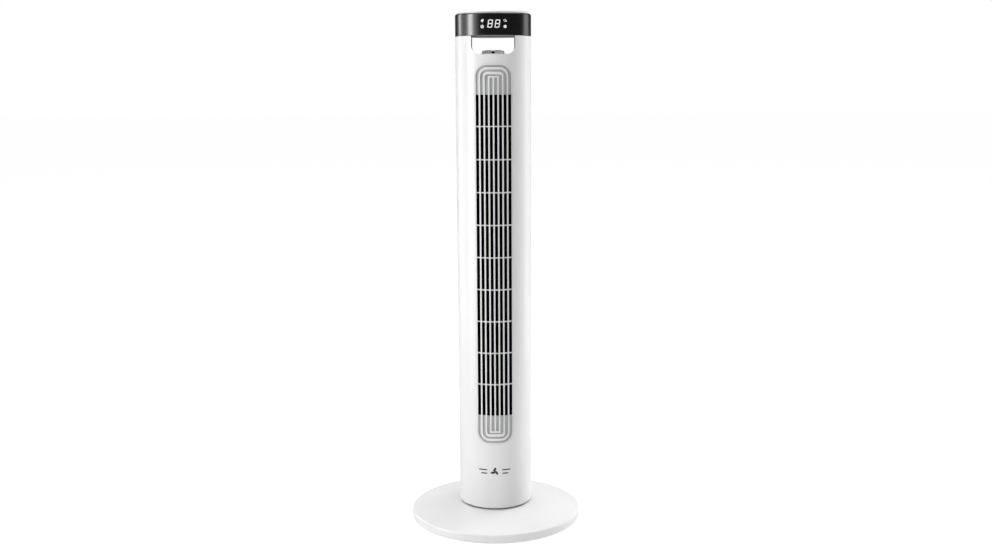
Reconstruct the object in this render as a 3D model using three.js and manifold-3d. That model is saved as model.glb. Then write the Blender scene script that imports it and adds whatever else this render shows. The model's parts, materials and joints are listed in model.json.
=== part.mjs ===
// Tower fan on a round foot: a slim upright casing that swings from side to side over its base, with a
// cross-flow impeller inside, a carrying hole through its neck and a display band under the key panel.
// Millimetres, +Z up. The origin is on the floor under the middle of the foot, and the fan blows along -Y.
import * as THREE from "three";
import { mergeVertices } from "three/addons/utils/BufferGeometryUtils.js";
import Module from "manifold-3d";

const wasm = await Module();
wasm.setup();

// ---------------------------------------------------------------- driving dimensions
const GAP = 0.3; // between any two pieces that touch
const WALL = 2.5; // moulded walls inside and under the fan
const FINE = 36; // flats round the large turned pieces
const CASING = 52; // round the tower, so that the edges fall on the ribs of the grille
const MEDIUM = 20; // round the ones inside
const ROUND = 12; // round hubs, bores and keys
const SMALL = 8; // and round screws, stems and holes

// foot
const BASE_RADIUS = 162;
const FOOT_HEIGHT = 2;
const FOOT_RADIUS = 10;
const FOOT_COUNT = 4;
const FOOT_INSET = 22; // from the rim of the base to the middle of a rubber foot
const RIM_HEIGHT = 15.3;
const RIM_ROUND = 3;
const DOME_RISE = 13.6; // from the rim up to the crown under the tower
const DISH_DEPTH = 11; // hollow in the crown that holds the swing gears
const UNDERPLATE_SCREWS = 3;

// swivel
const HUB_RADIUS = 23;
const HUB_WALL = 7;
const LEDGE_WIDTH = 6; // ring that carries the thrust washer
const WASHER_THICKNESS = 1.5;
const RETAINER_SCREWS = 3;
const GEAR_MODULE = 1.25;
const SECTOR_TEETH = 56; // on a whole turn, at least
const SECTOR_RIM = 3; // under the teeth, at least
const SECTOR_HALF_SPAN = 7; // teeth cut on each side of the middle one
const PINION_TEETH = 14;
const GEAR_WIDTH = 6;
const PRESSURE_ANGLE = THREE.MathUtils.degToRad(25);
const BACKLASH = 0.4;

// tower
const TOWER_RADIUS = 69.5;
const SHELL_WALL = 3;
const SEAM_Y = 6; // the two shells meet just behind the widest place
const BOTTOM_BAY = 128.9; // from the lower edge of the tower to the grille
const TOP_BAY = 18.8; // from the grille to the floor of the carrying hole
const DECK_THICKNESS = 3;
const POST_RADIUS = 4;
const SCREW_RADIUS = 1.5;
const SCREW_HEAD = 1.8; // height of a screw's head

// outlet grille
const GRILLE_HEIGHT = 700.3;
const COLUMNS = 8;
const COLUMN_PITCH = 8.35;
const SLOT_WIDTH = 5.3;
const CORNER_RADIUS = 20.6;
const BLIND_BELOW = 52.3; // the slots are closed grooves as far up as this
const BLIND_ABOVE = 53.1; // and again as far down as this from the top
const BAR_SPACING = 59.8;
const BAR_HEIGHT = 2.2;
const GROOVE_DEPTH = 3;
const FLANGE = 4; // lip behind the opening

// intake grille
const INTAKE_HALF_ANGLE = 58;
const INTAKE_SLOT = 5.5;
const INTAKE_MARGIN = 62; // above and below, from the ends of the outlet grille
const INTAKE_ROWS = 3;
const INTAKE_BAR = 4;

// impeller and motor
const IMPELLER_RADIUS = 38;
const IMPELLER_Y = 8; // its axis lies behind the middle of the tower
const IMPELLER_DISCS = 4;
const BLADES = 12;
const BLADE_DEPTH = 9;
const BLADE_THICKNESS = 1.2;
const MOTOR_RADIUS = 42;
const MOTOR_HEIGHT = 51;
const BELL_WALL = 1.5;
const SHAFT_RADIUS = 4;
const PIVOT_RADIUS = 3;

// neck and head
const HANDLE_HALF_WIDTH = 39.5;
const HANDLE_HEIGHT = 32.7;
const HANDLE_CORNER = 15;
const BAND_HEIGHT = 39.7;
const BAND_WALL = 2.5;
const BAND_ROUND = 3;
const CAP_RISE = 4.7; // of the key panel over the band
const CAP_ROUND = 5;
const KEY_COUNT = 5;
const KEY_RADIUS = 6.2;
const KEY_TRAVEL = 0.8;
const KEY_PROUD = 0.8;
const KEY_CIRCLE = 42;
const KEY_STEP = THREE.MathUtils.degToRad(25);
const BOARD = 1.6; // circuit board thickness

// remote control
const REMOTE_WIDTH = 40;
const REMOTE_LENGTH = 86;
const REMOTE_HEIGHT = 5.6;
const REMOTE_CORNER = 5;
const CELL_RADIUS = 10;
const CELL_HEIGHT = 2.5;

// ---------------------------------------------------------------- heights, from the floor up
const baseBottom = FOOT_HEIGHT + GAP;
const rimTop = baseBottom + RIM_HEIGHT;
const crown = rimTop + DOME_RISE;
const dishFloor = crown - DISH_DEPTH;
const floorBottom = crown + GAP + WASHER_THICKNESS + GAP;
const floorTop = floorBottom + WALL;
const towerBottom = floorBottom + 0.7;
const grilleBottom = towerBottom + BOTTOM_BAY;
const grilleTop = grilleBottom + GRILLE_HEIGHT;
const slotsBottom = grilleBottom + BLIND_BELOW;
const slotsTop = grilleTop - BLIND_ABOVE;
const motorDeck = slotsBottom - 14;
const bearingDeck = slotsTop + 8;
const handleFloor = grilleTop + TOP_BAY;
const handleCeiling = handleFloor + HANDLE_HEIGHT;
const bandTop = handleCeiling + BAND_HEIGHT;
const capTop = bandTop + CAP_RISE;

const shellInner = TOWER_RADIUS - SHELL_WALL;
const lining = shellInner - GAP; // what fits inside the shells ends here

// ---------------------------------------------------------------- solids from three.js geometry
// A closed geometry as a solid that can be cut and joined.
function solid(geometry) {
  const bare = geometry.index ? geometry.toNonIndexed() : geometry;
  bare.deleteAttribute("normal");
  bare.deleteAttribute("uv");
  const merged = mergeVertices(bare, 1e-4);
  const mesh = new wasm.Mesh({
    numProp: 3,
    vertProperties: merged.attributes.position.array,
    triVerts: new Uint32Array(merged.index.array),
  });
  return new wasm.Manifold(mesh);
}

// The solid back as a geometry for a mesh.
function geometryOf(made) {
  const mesh = made.getMesh();
  return new THREE.BufferGeometry()
    .setAttribute("position", new THREE.BufferAttribute(mesh.vertProperties, 3))
    .setIndex(new THREE.BufferAttribute(mesh.triVerts, 1));
}

const join = (first, ...others) => others.reduce((a, b) => a.add(b), first);
const cut = (first, ...others) => others.reduce((a, b) => a.subtract(b), first);

// A profile of [radius, height] points turned about Z. The points go round it anticlockwise.
function turned(profile, segments = 32) {
  const points = profile.map(([r, z]) => new THREE.Vector2(r, z));
  const onAxis = profile[0][0] === 0 && profile.at(-1)[0] === 0;
  if (!onAxis) points.push(points[0].clone());
  return solid(new THREE.LatheGeometry(points, segments).rotateX(Math.PI / 2));
}

// A tube, or a ring, about Z.
const ring = (inner, outer, low, high, segments) =>
  turned([[inner, low], [outer, low], [outer, high], [inner, high]], segments);

// A disc or a rod about Z.
const disc = (radius, low, high, segments) =>
  turned([[0, low], [radius, low], [radius, high], [0, high]], segments);

const box = (width, depth, height, x, y, z) =>
  solid(new THREE.BoxGeometry(width, depth, height).translate(x, y, z));

// An outline of [x, y] points raised from one height to another.
function raised(outline, low, high) {
  const shape = new THREE.Shape(outline.map(([x, y]) => new THREE.Vector2(x, y)));
  const options = { depth: high - low, bevelEnabled: false, curveSegments: 8 };
  return solid(new THREE.ExtrudeGeometry(shape, options).translate(0, 0, low));
}

// An outline of [x, z] points pushed through the tower from y = front to y = back.
function pushed(outline, front, back) {
  const shape = new THREE.Shape(outline.map(([x, z]) => new THREE.Vector2(x, z)));
  const options = { depth: back - front, bevelEnabled: false };
  const geometry = new THREE.ExtrudeGeometry(shape, options).rotateX(Math.PI / 2);
  return solid(geometry.translate(0, back, 0));
}

// Points of an arc about (x, y), from one angle to another in degrees.
function arc(x, y, radius, from, to, steps) {
  return Array.from({ length: steps + 1 }, (_, i) => {
    const a = THREE.MathUtils.degToRad(from + ((to - from) * i) / steps);
    return [x + radius * Math.cos(a), y + radius * Math.sin(a)];
  });
}

// A rectangle with round corners, anticlockwise.
function roundRectangle(left, right, low, high, radius, steps = 4) {
  return [
    ...arc(right - radius, low + radius, radius, -90, 0, steps),
    ...arc(right - radius, high - radius, radius, 0, 90, steps),
    ...arc(left + radius, high - radius, radius, 90, 180, steps),
    ...arc(left + radius, low + radius, radius, 180, 270, steps),
  ];
}

// ---------------------------------------------------------------- materials
const finish = (color, roughness, metalness = 0) =>
  new THREE.MeshStandardMaterial({ color, roughness, metalness });
const whitePlastic = finish(0xf1f1f1, 0.3);
const blackGloss = finish(0x0b0b0c, 0.12);
const blackPlastic = finish(0x17181a, 0.55);
const greyPlastic = finish(0xc9cbcc, 0.45);
const acetal = finish(0xf4f2ea, 0.4);
const rubber = finish(0x1c1c1d, 0.85);
const steel = finish(0xb9bcc0, 0.35, 1);
const copper = finish(0xb4672f, 0.4, 1);
const bronze = finish(0xa67c3d, 0.45, 1);
const board = finish(0x1f5c36, 0.5);
const darkLens = finish(0x120d16, 0.1);

// ---------------------------------------------------------------- the assembly
const fan = new THREE.Group();
const foot = new THREE.Group();
const tower = new THREE.Group();
const rotor = new THREE.Group();
const remote = new THREE.Group();
fan.add(foot, tower);
tower.add(rotor, remote);

function piece(group, name, made, material) {
  const mesh = new THREE.Mesh(geometryOf(made), material);
  mesh.name = name;
  group.add(mesh);
  return mesh;
}

// A pan-head screw with its seat at the origin, its head above and its shank below.
function screw(length) {
  const head = 2 * SCREW_RADIUS;
  return turned(
    [[0, -length], [SCREW_RADIUS, -length], [SCREW_RADIUS, 0], [head, 0], [head * 0.8, SCREW_HEAD], [0, SCREW_HEAD]],
    SMALL,
  );
}

// ---------------------------------------------------------------- foot
const crownRadius = TOWER_RADIUS - 2;
const dishRadius = crownRadius - 3;
const hubHole = HUB_RADIUS + 2 * GAP;
const ledgeRadius = hubHole + LEDGE_WIDTH;
const ceilingZ = dishFloor - WALL; // underside of the dish
const bossRadius = 5;
const bossCircle = BASE_RADIUS * 0.6;
const rimInner = BASE_RADIUS - WALL;
const domeUnderside = (r) =>
  rimTop - WALL + (DOME_RISE * (rimInner - r)) / (rimInner - crownRadius);

const teethRoundHub = Math.ceil((2 * (ledgeRadius + GAP + SECTOR_RIM)) / GEAR_MODULE + 2.1);
const sectorTeeth = Math.max(SECTOR_TEETH, teethRoundHub);
const sectorRadius = (GEAR_MODULE * sectorTeeth) / 2;
const pinionRadius = (GEAR_MODULE * PINION_TEETH) / 2;
const gearReach = sectorRadius + pinionRadius; // from the swivel axis to the pinion's
const sectorRoot = sectorRadius - 1.05 * GEAR_MODULE;
const pegCircle = sectorRoot + 2;
const pegAngles = [50, 90, 130];
const gearBottom = dishFloor + GAP;
const gearTop = gearBottom + GEAR_WIDTH;

function around(count, radius, startDegrees = 0) {
  return arc(0, 0, radius, startDegrees, startDegrees + 360, count).slice(0, count);
}

function baseCover() {
  const round = arc(BASE_RADIUS - RIM_ROUND, rimTop - RIM_ROUND, RIM_ROUND, 0, 80, 3);
  const shell = turned(
    [
      [rimInner, baseBottom],
      [BASE_RADIUS, baseBottom],
      ...round,
      [crownRadius, crown],
      [dishRadius, crown],
      [dishRadius, dishFloor],
      [ledgeRadius, dishFloor],
      [ledgeRadius, crown],
      [hubHole, crown],
      [hubHole, ceilingZ],
      [dishRadius + WALL, ceilingZ],
      [crownRadius, domeUnderside(crownRadius)],
      [rimInner, rimTop - WALL - 1],
    ],
    FINE,
  );
  const underplateTop = baseBottom + WALL;
  const bosses = around(UNDERPLATE_SCREWS, bossCircle, 30).map(([x, y]) =>
    ring(SCREW_RADIUS + GAP, bossRadius, underplateTop + GAP, domeUnderside(bossCircle) + 1, ROUND)
      .translate([x, y, 0]),
  );
  const pegs = pegAngles.map((a) => {
    const [[x, y]] = arc(0, 0, pegCircle, a, a, 1);
    return disc(SCREW_RADIUS, dishFloor - 1, gearTop + 0.6, SMALL).translate([x, y, 0]);
  });
  return join(shell, ...bosses, ...pegs);
}

function underplate() {
  const plate = ring(HUB_RADIUS, rimInner - GAP, baseBottom, baseBottom + WALL, FINE);
  const screwHoles = around(UNDERPLATE_SCREWS, bossCircle, 30).map(([x, y]) =>
    disc(SCREW_RADIUS + GAP, 0, crown, SMALL).translate([x, y, 0]),
  );
  const footHoles = feetPlaces.map(([x, y]) =>
    disc(FOOT_RADIUS / 3 + GAP, 0, crown, SMALL).translate([x, y, 0]),
  );
  return cut(plate, ...screwHoles, ...footHoles);
}

const feetPlaces = around(FOOT_COUNT, BASE_RADIUS - FOOT_INSET, 45);

function rubberFoot() {
  const plug = FOOT_RADIUS / 3;
  return turned(
    [
      [0, 0],
      [FOOT_RADIUS - 1, 0],
      [FOOT_RADIUS, 0.6],
      [FOOT_RADIUS, FOOT_HEIGHT],
      [plug, FOOT_HEIGHT],
      [plug, FOOT_HEIGHT + GAP + WALL + 1],
      [0, FOOT_HEIGHT + GAP + WALL + 1],
    ],
    ROUND,
  );
}

// Outline of an involute gear's teeth from first to last, with one tooth centred on the X axis.
function gearOutline(teeth, first, last) {
  const pitch = (GEAR_MODULE * teeth) / 2;
  const base = pitch * Math.cos(PRESSURE_ANGLE);
  const root = pitch - 1.05 * GEAR_MODULE;
  const tip = pitch + 0.8 * GEAR_MODULE;
  const involute = (a) => Math.tan(a) - a;
  const halfAngle = (r) =>
    Math.PI / (2 * teeth) - BACKLASH / (2 * pitch) + involute(PRESSURE_ANGLE) -
    involute(Math.acos(Math.min(1, base / Math.max(r, base))));
  const outline = [];
  for (let tooth = first; tooth <= last; tooth++) {
    const middle = (2 * Math.PI * tooth) / teeth;
    const flank = [root, base, pitch, tip].filter((r) => r !== base || base > root);
    const right = flank.map((r) => [r, middle - halfAngle(r)]);
    const left = flank.reverse().map((r) => [r, middle + halfAngle(r)]);
    for (const [r, a] of [...right, ...left]) outline.push([r * Math.cos(a), r * Math.sin(a)]);
  }
  return outline;
}

function sectorGear() {
  const toothed = gearOutline(sectorTeeth, -SECTOR_HALF_SPAN, SECTOR_HALF_SPAN);
  const end = (360 * (SECTOR_HALF_SPAN + 0.5)) / sectorTeeth;
  const plain = arc(0, 0, sectorRoot, end, 360 - end, 30);
  const gear = raised([...toothed, ...plain], gearBottom, gearTop).rotate([0, 0, -90]);
  const ears = pegAngles.map((a) => {
    const [[x, y]] = arc(0, 0, pegCircle, a, a, 1);
    return disc(2 * SCREW_RADIUS + 1, gearBottom, gearTop, ROUND).translate([x, y, 0]);
  });
  const holes = pegAngles.map((a) => {
    const [[x, y]] = arc(0, 0, pegCircle, a, a, 1);
    return disc(SCREW_RADIUS + GAP, gearBottom - 1, gearTop + 1, SMALL).translate([x, y, 0]);
  });
  const bore = disc(ledgeRadius + GAP, gearBottom - 1, gearTop + 1, FINE);
  return cut(join(gear, ...ears), bore, ...holes);
}

piece(foot, "base_cover", baseCover(), whitePlastic);
piece(foot, "base_underplate", underplate(), blackPlastic);
feetPlaces.forEach(([x, y], i) => {
  piece(foot, `rubber_foot_${i + 1}`, rubberFoot(), rubber).position.set(x, y, 0);
});
around(UNDERPLATE_SCREWS, bossCircle, 30).forEach(([x, y], i) => {
  const made = piece(foot, `underplate_screw_${i + 1}`, screw(9).rotate([180, 0, 0]), steel);
  made.position.set(x, y, baseBottom - GAP);
});
piece(
  foot,
  "swivel_washer",
  ring(hubHole, ledgeRadius - 0.5, crown + GAP, crown + GAP + WASHER_THICKNESS, MEDIUM),
  acetal,
);
piece(foot, "swing_sector_gear", sectorGear(), acetal);

// ---------------------------------------------------------------- swivel and swing drive
const hubBottom = ceilingZ - 2.8;
const retainerTop = hubBottom - GAP;
const hubBore = HUB_RADIUS - HUB_WALL;
const screwCircle = HUB_RADIUS - HUB_WALL / 2;
const swingMotorRadius = 17.5;
const swingMotorHeight = 20;
const swingMotorOffset = 10; // its shaft is off the middle of its can
const pinionShaft = 2.5;
const shaftHole = pinionShaft + 1;

function towerFloor() {
  const body = turned(
    [
      [hubBore, hubBottom],
      [HUB_RADIUS, hubBottom],
      [HUB_RADIUS, floorBottom],
      [lining, floorBottom],
      [lining, floorTop + 8],
      [lining - WALL, floorTop + 8],
      [lining - WALL, floorTop],
      [hubBore, floorTop],
    ],
    FINE,
  );
  const shaftWay = disc(shaftHole, 0, bandTop, ROUND).translate([0, -gearReach, 0]);
  const pilots = around(RETAINER_SCREWS, screwCircle, 30).map(([x, y]) =>
    disc(SCREW_RADIUS + GAP, hubBottom - 1, hubBottom + 9, SMALL).translate([x, y, 0]),
  );
  return cut(body, shaftWay, ...pilots);
}

function retainer() {
  const flange = HUB_RADIUS + 10;
  const body = turned(
    [
      [hubBore, retainerTop - WALL],
      [flange, retainerTop - WALL],
      [flange, ceilingZ - 2 * GAP],
      [flange - 4, ceilingZ - 2 * GAP],
      [flange - 4, retainerTop],
      [hubBore, retainerTop],
    ],
    MEDIUM,
  );
  const holes = around(RETAINER_SCREWS, screwCircle, 30).map(([x, y]) =>
    disc(SCREW_RADIUS + GAP, 0, retainerTop + 1, SMALL).translate([x, y, 0]),
  );
  return cut(body, ...holes);
}

function swingMotor() {
  const bottom = floorTop + GAP;
  const can = disc(swingMotorRadius, bottom, bottom + swingMotorHeight, MEDIUM)
    .translate([0, swingMotorOffset - gearReach, 0]);
  const ears = box(2 * swingMotorRadius + 14, 7, 1.2, 0, swingMotorOffset - gearReach, bottom + 0.6);
  const bore = disc(pinionShaft + GAP, 0, bottom + 8, ROUND).translate([0, -gearReach, 0]);
  return cut(join(can, ears), bore);
}

function pinion() {
  const halfPitch = 180 / PINION_TEETH;
  const toothed = raised(gearOutline(PINION_TEETH, 0, PINION_TEETH - 1), gearBottom, gearTop);
  const shaft = disc(pinionShaft, gearBottom, floorTop + GAP + 7, ROUND);
  return join(toothed, shaft).rotate([0, 0, 90 + halfPitch]);
}

piece(tower, "tower_floor", towerFloor(), whitePlastic);
piece(tower, "swivel_retainer", retainer(), acetal);
around(RETAINER_SCREWS, screwCircle, 30).forEach(([x, y], i) => {
  const made = piece(tower, `retainer_screw_${i + 1}`, screw(8).rotate([180, 0, 0]), steel);
  made.position.set(x, y, retainerTop - WALL - GAP);
});
piece(tower, "swing_motor", swingMotor(), steel);
piece(tower, "swing_pinion", pinion(), acetal).position.set(0, -gearReach, 0);

// ---------------------------------------------------------------- shells
const handleOutline = (grow, top) => [
  [-HANDLE_HALF_WIDTH - grow, top],
  ...arc(-HANDLE_HALF_WIDTH + HANDLE_CORNER, handleFloor + HANDLE_CORNER, HANDLE_CORNER + grow, 180, 270, 5),
  ...arc(HANDLE_HALF_WIDTH - HANDLE_CORNER, handleFloor + HANDLE_CORNER, HANDLE_CORNER + grow, 270, 360, 5),
  [HANDLE_HALF_WIDTH + grow, top],
];
const far = 2 * TOWER_RADIUS;
const shellTop = handleCeiling - GAP;
const postX = IMPELLER_RADIUS + POST_RADIUS + 3;
const postHeights = [floorTop + 34, handleFloor - WALL - POST_RADIUS - 7];
const wallAt = (x, radius) => Math.sqrt(radius ** 2 - x ** 2);
const screwSeat = wallAt(postX + 2 * SCREW_RADIUS, TOWER_RADIUS) - SCREW_HEAD - GAP; // heads are sunk in the shell
const cableRadius = 2;
const cableX = Math.max(postX + POST_RADIUS, HANDLE_HALF_WIDTH + WALL) + cableRadius + 0.5;
const deckRound = lining - FLANGE / 2 - 1; // clear of the lips of both grilles
const cableY = Math.sqrt((deckRound - cableRadius - 2.1) ** 2 - cableX ** 2);

const grilleHalfWidth = ((COLUMNS - 1) * COLUMN_PITCH + SLOT_WIDTH) / 2;
const grilleEdge = 2.4; // plain rim round the outer groove, moulded with the grille
const grilleOutline = (grow) =>
  roundRectangle(
    -grilleHalfWidth - grilleEdge - grow,
    grilleHalfWidth + grilleEdge + grow,
    grilleBottom - grilleEdge - grow,
    grilleTop + grilleEdge + grow,
    CORNER_RADIUS + grilleEdge + grow,
    4,
  );

const intakeBottom = grilleBottom + INTAKE_MARGIN;
const intakeTop = grilleTop - INTAKE_MARGIN;
const intakeHalfWidth = TOWER_RADIUS * Math.sin(THREE.MathUtils.degToRad(INTAKE_HALF_ANGLE));
const intakeOutline = (grow) =>
  roundRectangle(
    -intakeHalfWidth - grow,
    intakeHalfWidth + grow,
    intakeBottom - grow,
    intakeTop + grow,
    8 + grow,
    3,
  );
const glandZ = floorTop + 24;
const glandRadius = 7;

function casing() {
  return turned(
    [
      [shellInner, towerBottom],
      ...arc(shellInner, towerBottom + SHELL_WALL, SHELL_WALL, -60, 0, 3),
      [TOWER_RADIUS, shellTop],
      [shellInner, shellTop],
    ],
    CASING,
  );
}

// Small brackets inside a shell that a deck rests on.
function deckRests(heights, angles) {
  return heights.flatMap((z) =>
    angles.map((a) =>
      box(3, 8, 4, shellInner - 0.5, 0, z - GAP - 2).rotate([0, 0, a]),
    ),
  );
}

function frontShell() {
  const half = casing().intersect(box(2 * far, far, 2 * bandTop, 0, SEAM_Y - GAP / 2 - far / 2, bandTop));
  const posts = postHeights.flatMap((z) =>
    [-postX, postX].map((x) => {
      const length = wallAt(x, shellInner) + wallAt(Math.abs(x) + POST_RADIUS, lining) - 2 * GAP;
      return cut(disc(POST_RADIUS, 0, length + 1, ROUND), disc(SCREW_RADIUS + GAP, length - 14, length + 2, SMALL))
        .rotate([-90, 0, 0])
        .translate([x, -wallAt(x, shellInner) - 1, z]);
    }),
  );
  return cut(
    join(half, ...posts, ...deckRests([motorDeck, bearingDeck], [-30, -150])),
    pushed(grilleOutline(0), -far, -TOWER_RADIUS / 2),
    pushed(handleOutline(0, bandTop), -far, 0),
  );
}

function rearShell() {
  const half = casing().intersect(box(2 * far, far, 2 * bandTop, 0, SEAM_Y + GAP / 2 + far / 2, bandTop));
  const sunkRadius = 2 * SCREW_RADIUS + 2 * GAP;
  const postEnd = wallAt(postX + POST_RADIUS, lining) - 2 * GAP;
  const skin = disc(TOWER_RADIUS - 1, 0, bandTop, ROUND);
  const sites = postHeights.flatMap((z) => [[-postX, z], [postX, z]]);
  const seats = sites.map(([x, z]) =>
    disc(sunkRadius + 1.6, postEnd + GAP, far, ROUND).rotate([-90, 0, 0]).translate([x, 0, z]).intersect(skin),
  );
  const screwHoles = sites.flatMap(([x, z]) => [
    disc(SCREW_RADIUS + GAP, 0, far, SMALL).rotate([-90, 0, 0]).translate([x, 0, z]),
    disc(sunkRadius, screwSeat, far, ROUND).rotate([-90, 0, 0]).translate([x, 0, z]),
  ]);
  const glandHole = disc(glandRadius, 0, far, ROUND).rotate([-90, 0, 0]).translate([0, 0, glandZ]);
  return cut(
    join(half, ...seats, ...deckRests([motorDeck, bearingDeck], [35, 145])),
    pushed(intakeOutline(0), TOWER_RADIUS / 4, far),
    pushed(handleOutline(0, bandTop), 0, far),
    glandHole,
    ...screwHoles,
  );
}

piece(tower, "front_shell", frontShell(), whitePlastic);
piece(tower, "rear_shell", rearShell(), whitePlastic);
postHeights.forEach((z, row) => {
  [-postX, postX].forEach((x, side) => {
    const made = piece(tower, `shell_screw_${2 * row + side + 1}`, screw(12).rotate([-90, 0, 0]), steel);
    made.position.set(x, screwSeat + GAP, z);
  });
});

// ---------------------------------------------------------------- outlet grille
const behind = lining - 2; // inner face of both grilles

// The U-shaped closed groove that joins column number k to its mirror image, beyond the slots' end.
function endGroove(k, end) {
  const half = grilleHalfWidth - k * COLUMN_PITCH;
  const top = grilleTop - k * COLUMN_PITCH;
  const radius = Math.max(CORNER_RADIUS - k * COLUMN_PITCH, 1);
  const inner = Math.max(radius - SLOT_WIDTH, 0.4);
  const low = end - 1;
  const outerArcs = [
    ...arc(half - radius, top - radius, radius, 0, 90, 3),
    ...arc(-half + radius, top - radius, radius, 90, 180, 3),
  ];
  const innerHalf = half - SLOT_WIDTH;
  const innerTop = top - SLOT_WIDTH;
  const innerArcs = [
    ...arc(-innerHalf + inner, innerTop - inner, inner, 180, 90, 2),
    ...arc(innerHalf - inner, innerTop - inner, inner, 90, 0, 2),
  ];
  return pushed(
    [[half, low], ...outerArcs, [-half, low], [-innerHalf, low], ...innerArcs, [innerHalf, low]],
    -far,
    0,
  );
}

function outletGrille() {
  const panel = ring(behind, TOWER_RADIUS, 0, bandTop, CASING).intersect(
    pushed(grilleOutline(-GAP), -far, -TOWER_RADIUS / 2),
  );
  const lip = ring(behind, lining, 0, bandTop, CASING).intersect(
    pushed(grilleOutline(FLANGE), -far, -TOWER_RADIUS / 2),
  );
  const columns = Array.from({ length: COLUMNS }, (_, i) => (i - (COLUMNS - 1) / 2) * COLUMN_PITCH);
  const ends = [slotsBottom - BAR_HEIGHT / 2];
  for (let z = slotsBottom + BAR_SPACING; z < slotsTop - BAR_SPACING / 2; z += BAR_SPACING) ends.push(z);
  ends.push(slotsTop + BAR_HEIGHT / 2);
  const slots = columns.flatMap((x) =>
    ends.slice(1).map((high, i) => {
      const low = ends[i] + BAR_HEIGHT / 2;
      const top = high - BAR_HEIGHT / 2;
      return box(SLOT_WIDTH, far, top - low, x, -far / 2 - 10, (top + low) / 2);
    }),
  );
  const grooveFloor = disc(TOWER_RADIUS - GROOVE_DEPTH, 0, bandTop, CASING);
  const pairs = COLUMNS / 2 - 1;
  const blindTop = grilleTop - pairs * COLUMN_PITCH;
  const grooveSet = (end) => {
    const nested = Array.from({ length: pairs }, (_, k) => endGroove(k, end));
    const middle = columns.slice(pairs, COLUMNS - pairs).map((x) =>
      box(SLOT_WIDTH, far, blindTop - end + 1, x, -far / 2, (blindTop + end - 1) / 2),
    );
    return join(...nested, ...middle);
  };
  const above = grooveSet(slotsTop);
  const below = grooveSet(grilleTop - BLIND_BELOW)
    .mirror([0, 0, 1])
    .translate([0, 0, grilleTop + grilleBottom]);
  const grooves = cut(join(above, below), grooveFloor);
  return cut(join(panel, lip), grooves, ...slots);
}

piece(tower, "outlet_grille", outletGrille(), whitePlastic);

// ---------------------------------------------------------------- intake grille
function intakeGrille() {
  const panel = ring(behind, TOWER_RADIUS, 0, bandTop, CASING).intersect(
    pushed(intakeOutline(-GAP), TOWER_RADIUS / 4, far),
  );
  const lip = ring(behind, lining, 0, bandTop, CASING).intersect(
    pushed(intakeOutline(FLANGE / 2), TOWER_RADIUS / 4, far),
  );
  const pitchAngle = 360 / CASING;
  const columns = 2 * Math.floor((INTAKE_HALF_ANGLE - 4) / pitchAngle);
  const rowHeight = (intakeTop - intakeBottom - 2 * INTAKE_BAR) / INTAKE_ROWS;
  const slots = [];
  for (let column = 0; column < columns; column++) {
    for (let row = 0; row < INTAKE_ROWS; row++) {
      const middle = intakeBottom + INTAKE_BAR + rowHeight * (row + 0.5);
      slots.push(
        box(INTAKE_SLOT, 20, rowHeight - INTAKE_BAR, 0, TOWER_RADIUS, middle)
          .rotate([0, 0, (column - (columns - 1) / 2) * pitchAngle]),
      );
    }
  }
  return cut(join(panel, lip), ...slots);
}

piece(tower, "intake_grille", intakeGrille(), whitePlastic);

// ---------------------------------------------------------------- decks and air duct
const atImpeller = (made) => made.translate([0, IMPELLER_Y, 0]);
const cableWay = (clearance) => disc(cableRadius + clearance, 0, bandTop, ROUND).translate([cableX, cableY, 0]);
const rubberSeat = 8;
const shaftOpening = 12;

function deck(low, opening) {
  return cut(
    disc(deckRound, low, low + DECK_THICKNESS, FINE),
    atImpeller(disc(opening, 0, bandTop, ROUND)),
    cableWay(1.2),
  );
}

// A strip of even thickness along a path of [x, y] points.
function strip(path, thickness) {
  const side = path.map(([x, y], i) => {
    const [ax, ay] = path[Math.max(i - 1, 0)];
    const [bx, by] = path[Math.min(i + 1, path.length - 1)];
    const length = Math.hypot(bx - ax, by - ay);
    return [x - ((by - ay) * thickness) / length, y + ((bx - ax) * thickness) / length];
  });
  return [...path, ...side.reverse()];
}

const ductLow = motorDeck + DECK_THICKNESS + GAP;
const ductHigh = bearingDeck - GAP;
const clearRound = IMPELLER_RADIUS + 3;

// The scroll opens from just off the impeller, behind it, to the left side of the outlet.
function scrollPanel() {
  const startAngle = 135;
  const endAngle = 235;
  const reach = deckRound - 3 - clearRound;
  const path = Array.from({ length: 13 }, (_, i) => {
    const t = i / 12;
    const a = THREE.MathUtils.degToRad(startAngle + (endAngle - startAngle) * t);
    const r = clearRound + reach * t;
    return [r * Math.cos(a), IMPELLER_Y * (1 - t) + r * Math.sin(a)];
  });
  return raised(strip(path, -2), ductLow, ductHigh);
}

// The tongue closes the right side of the outlet and parts the two air streams.
function tonguePanel() {
  const a = THREE.MathUtils.degToRad(-30);
  const tip = [clearRound * Math.cos(a), IMPELLER_Y + clearRound * Math.sin(a)];
  const outletSide = [
    (deckRound - 2) * Math.cos(THREE.MathUtils.degToRad(-55)),
    (deckRound - 2) * Math.sin(THREE.MathUtils.degToRad(-55)),
  ];
  const path = [
    outletSide,
    [outletSide[0] * 0.6 + tip[0] * 0.4 + 1, outletSide[1] * 0.6 + tip[1] * 0.4],
    [tip[0] + 1, tip[1]],
    [tip[0] + 8, tip[1] + 6],
  ];
  return raised(strip(path, -2), ductLow, ductHigh);
}

piece(tower, "motor_deck", deck(motorDeck, shaftOpening), blackPlastic);
piece(tower, "bearing_deck", deck(bearingDeck, rubberSeat), blackPlastic);
piece(tower, "scroll_panel", scrollPanel(), blackPlastic);
piece(tower, "tongue_panel", tonguePanel(), blackPlastic);

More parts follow.
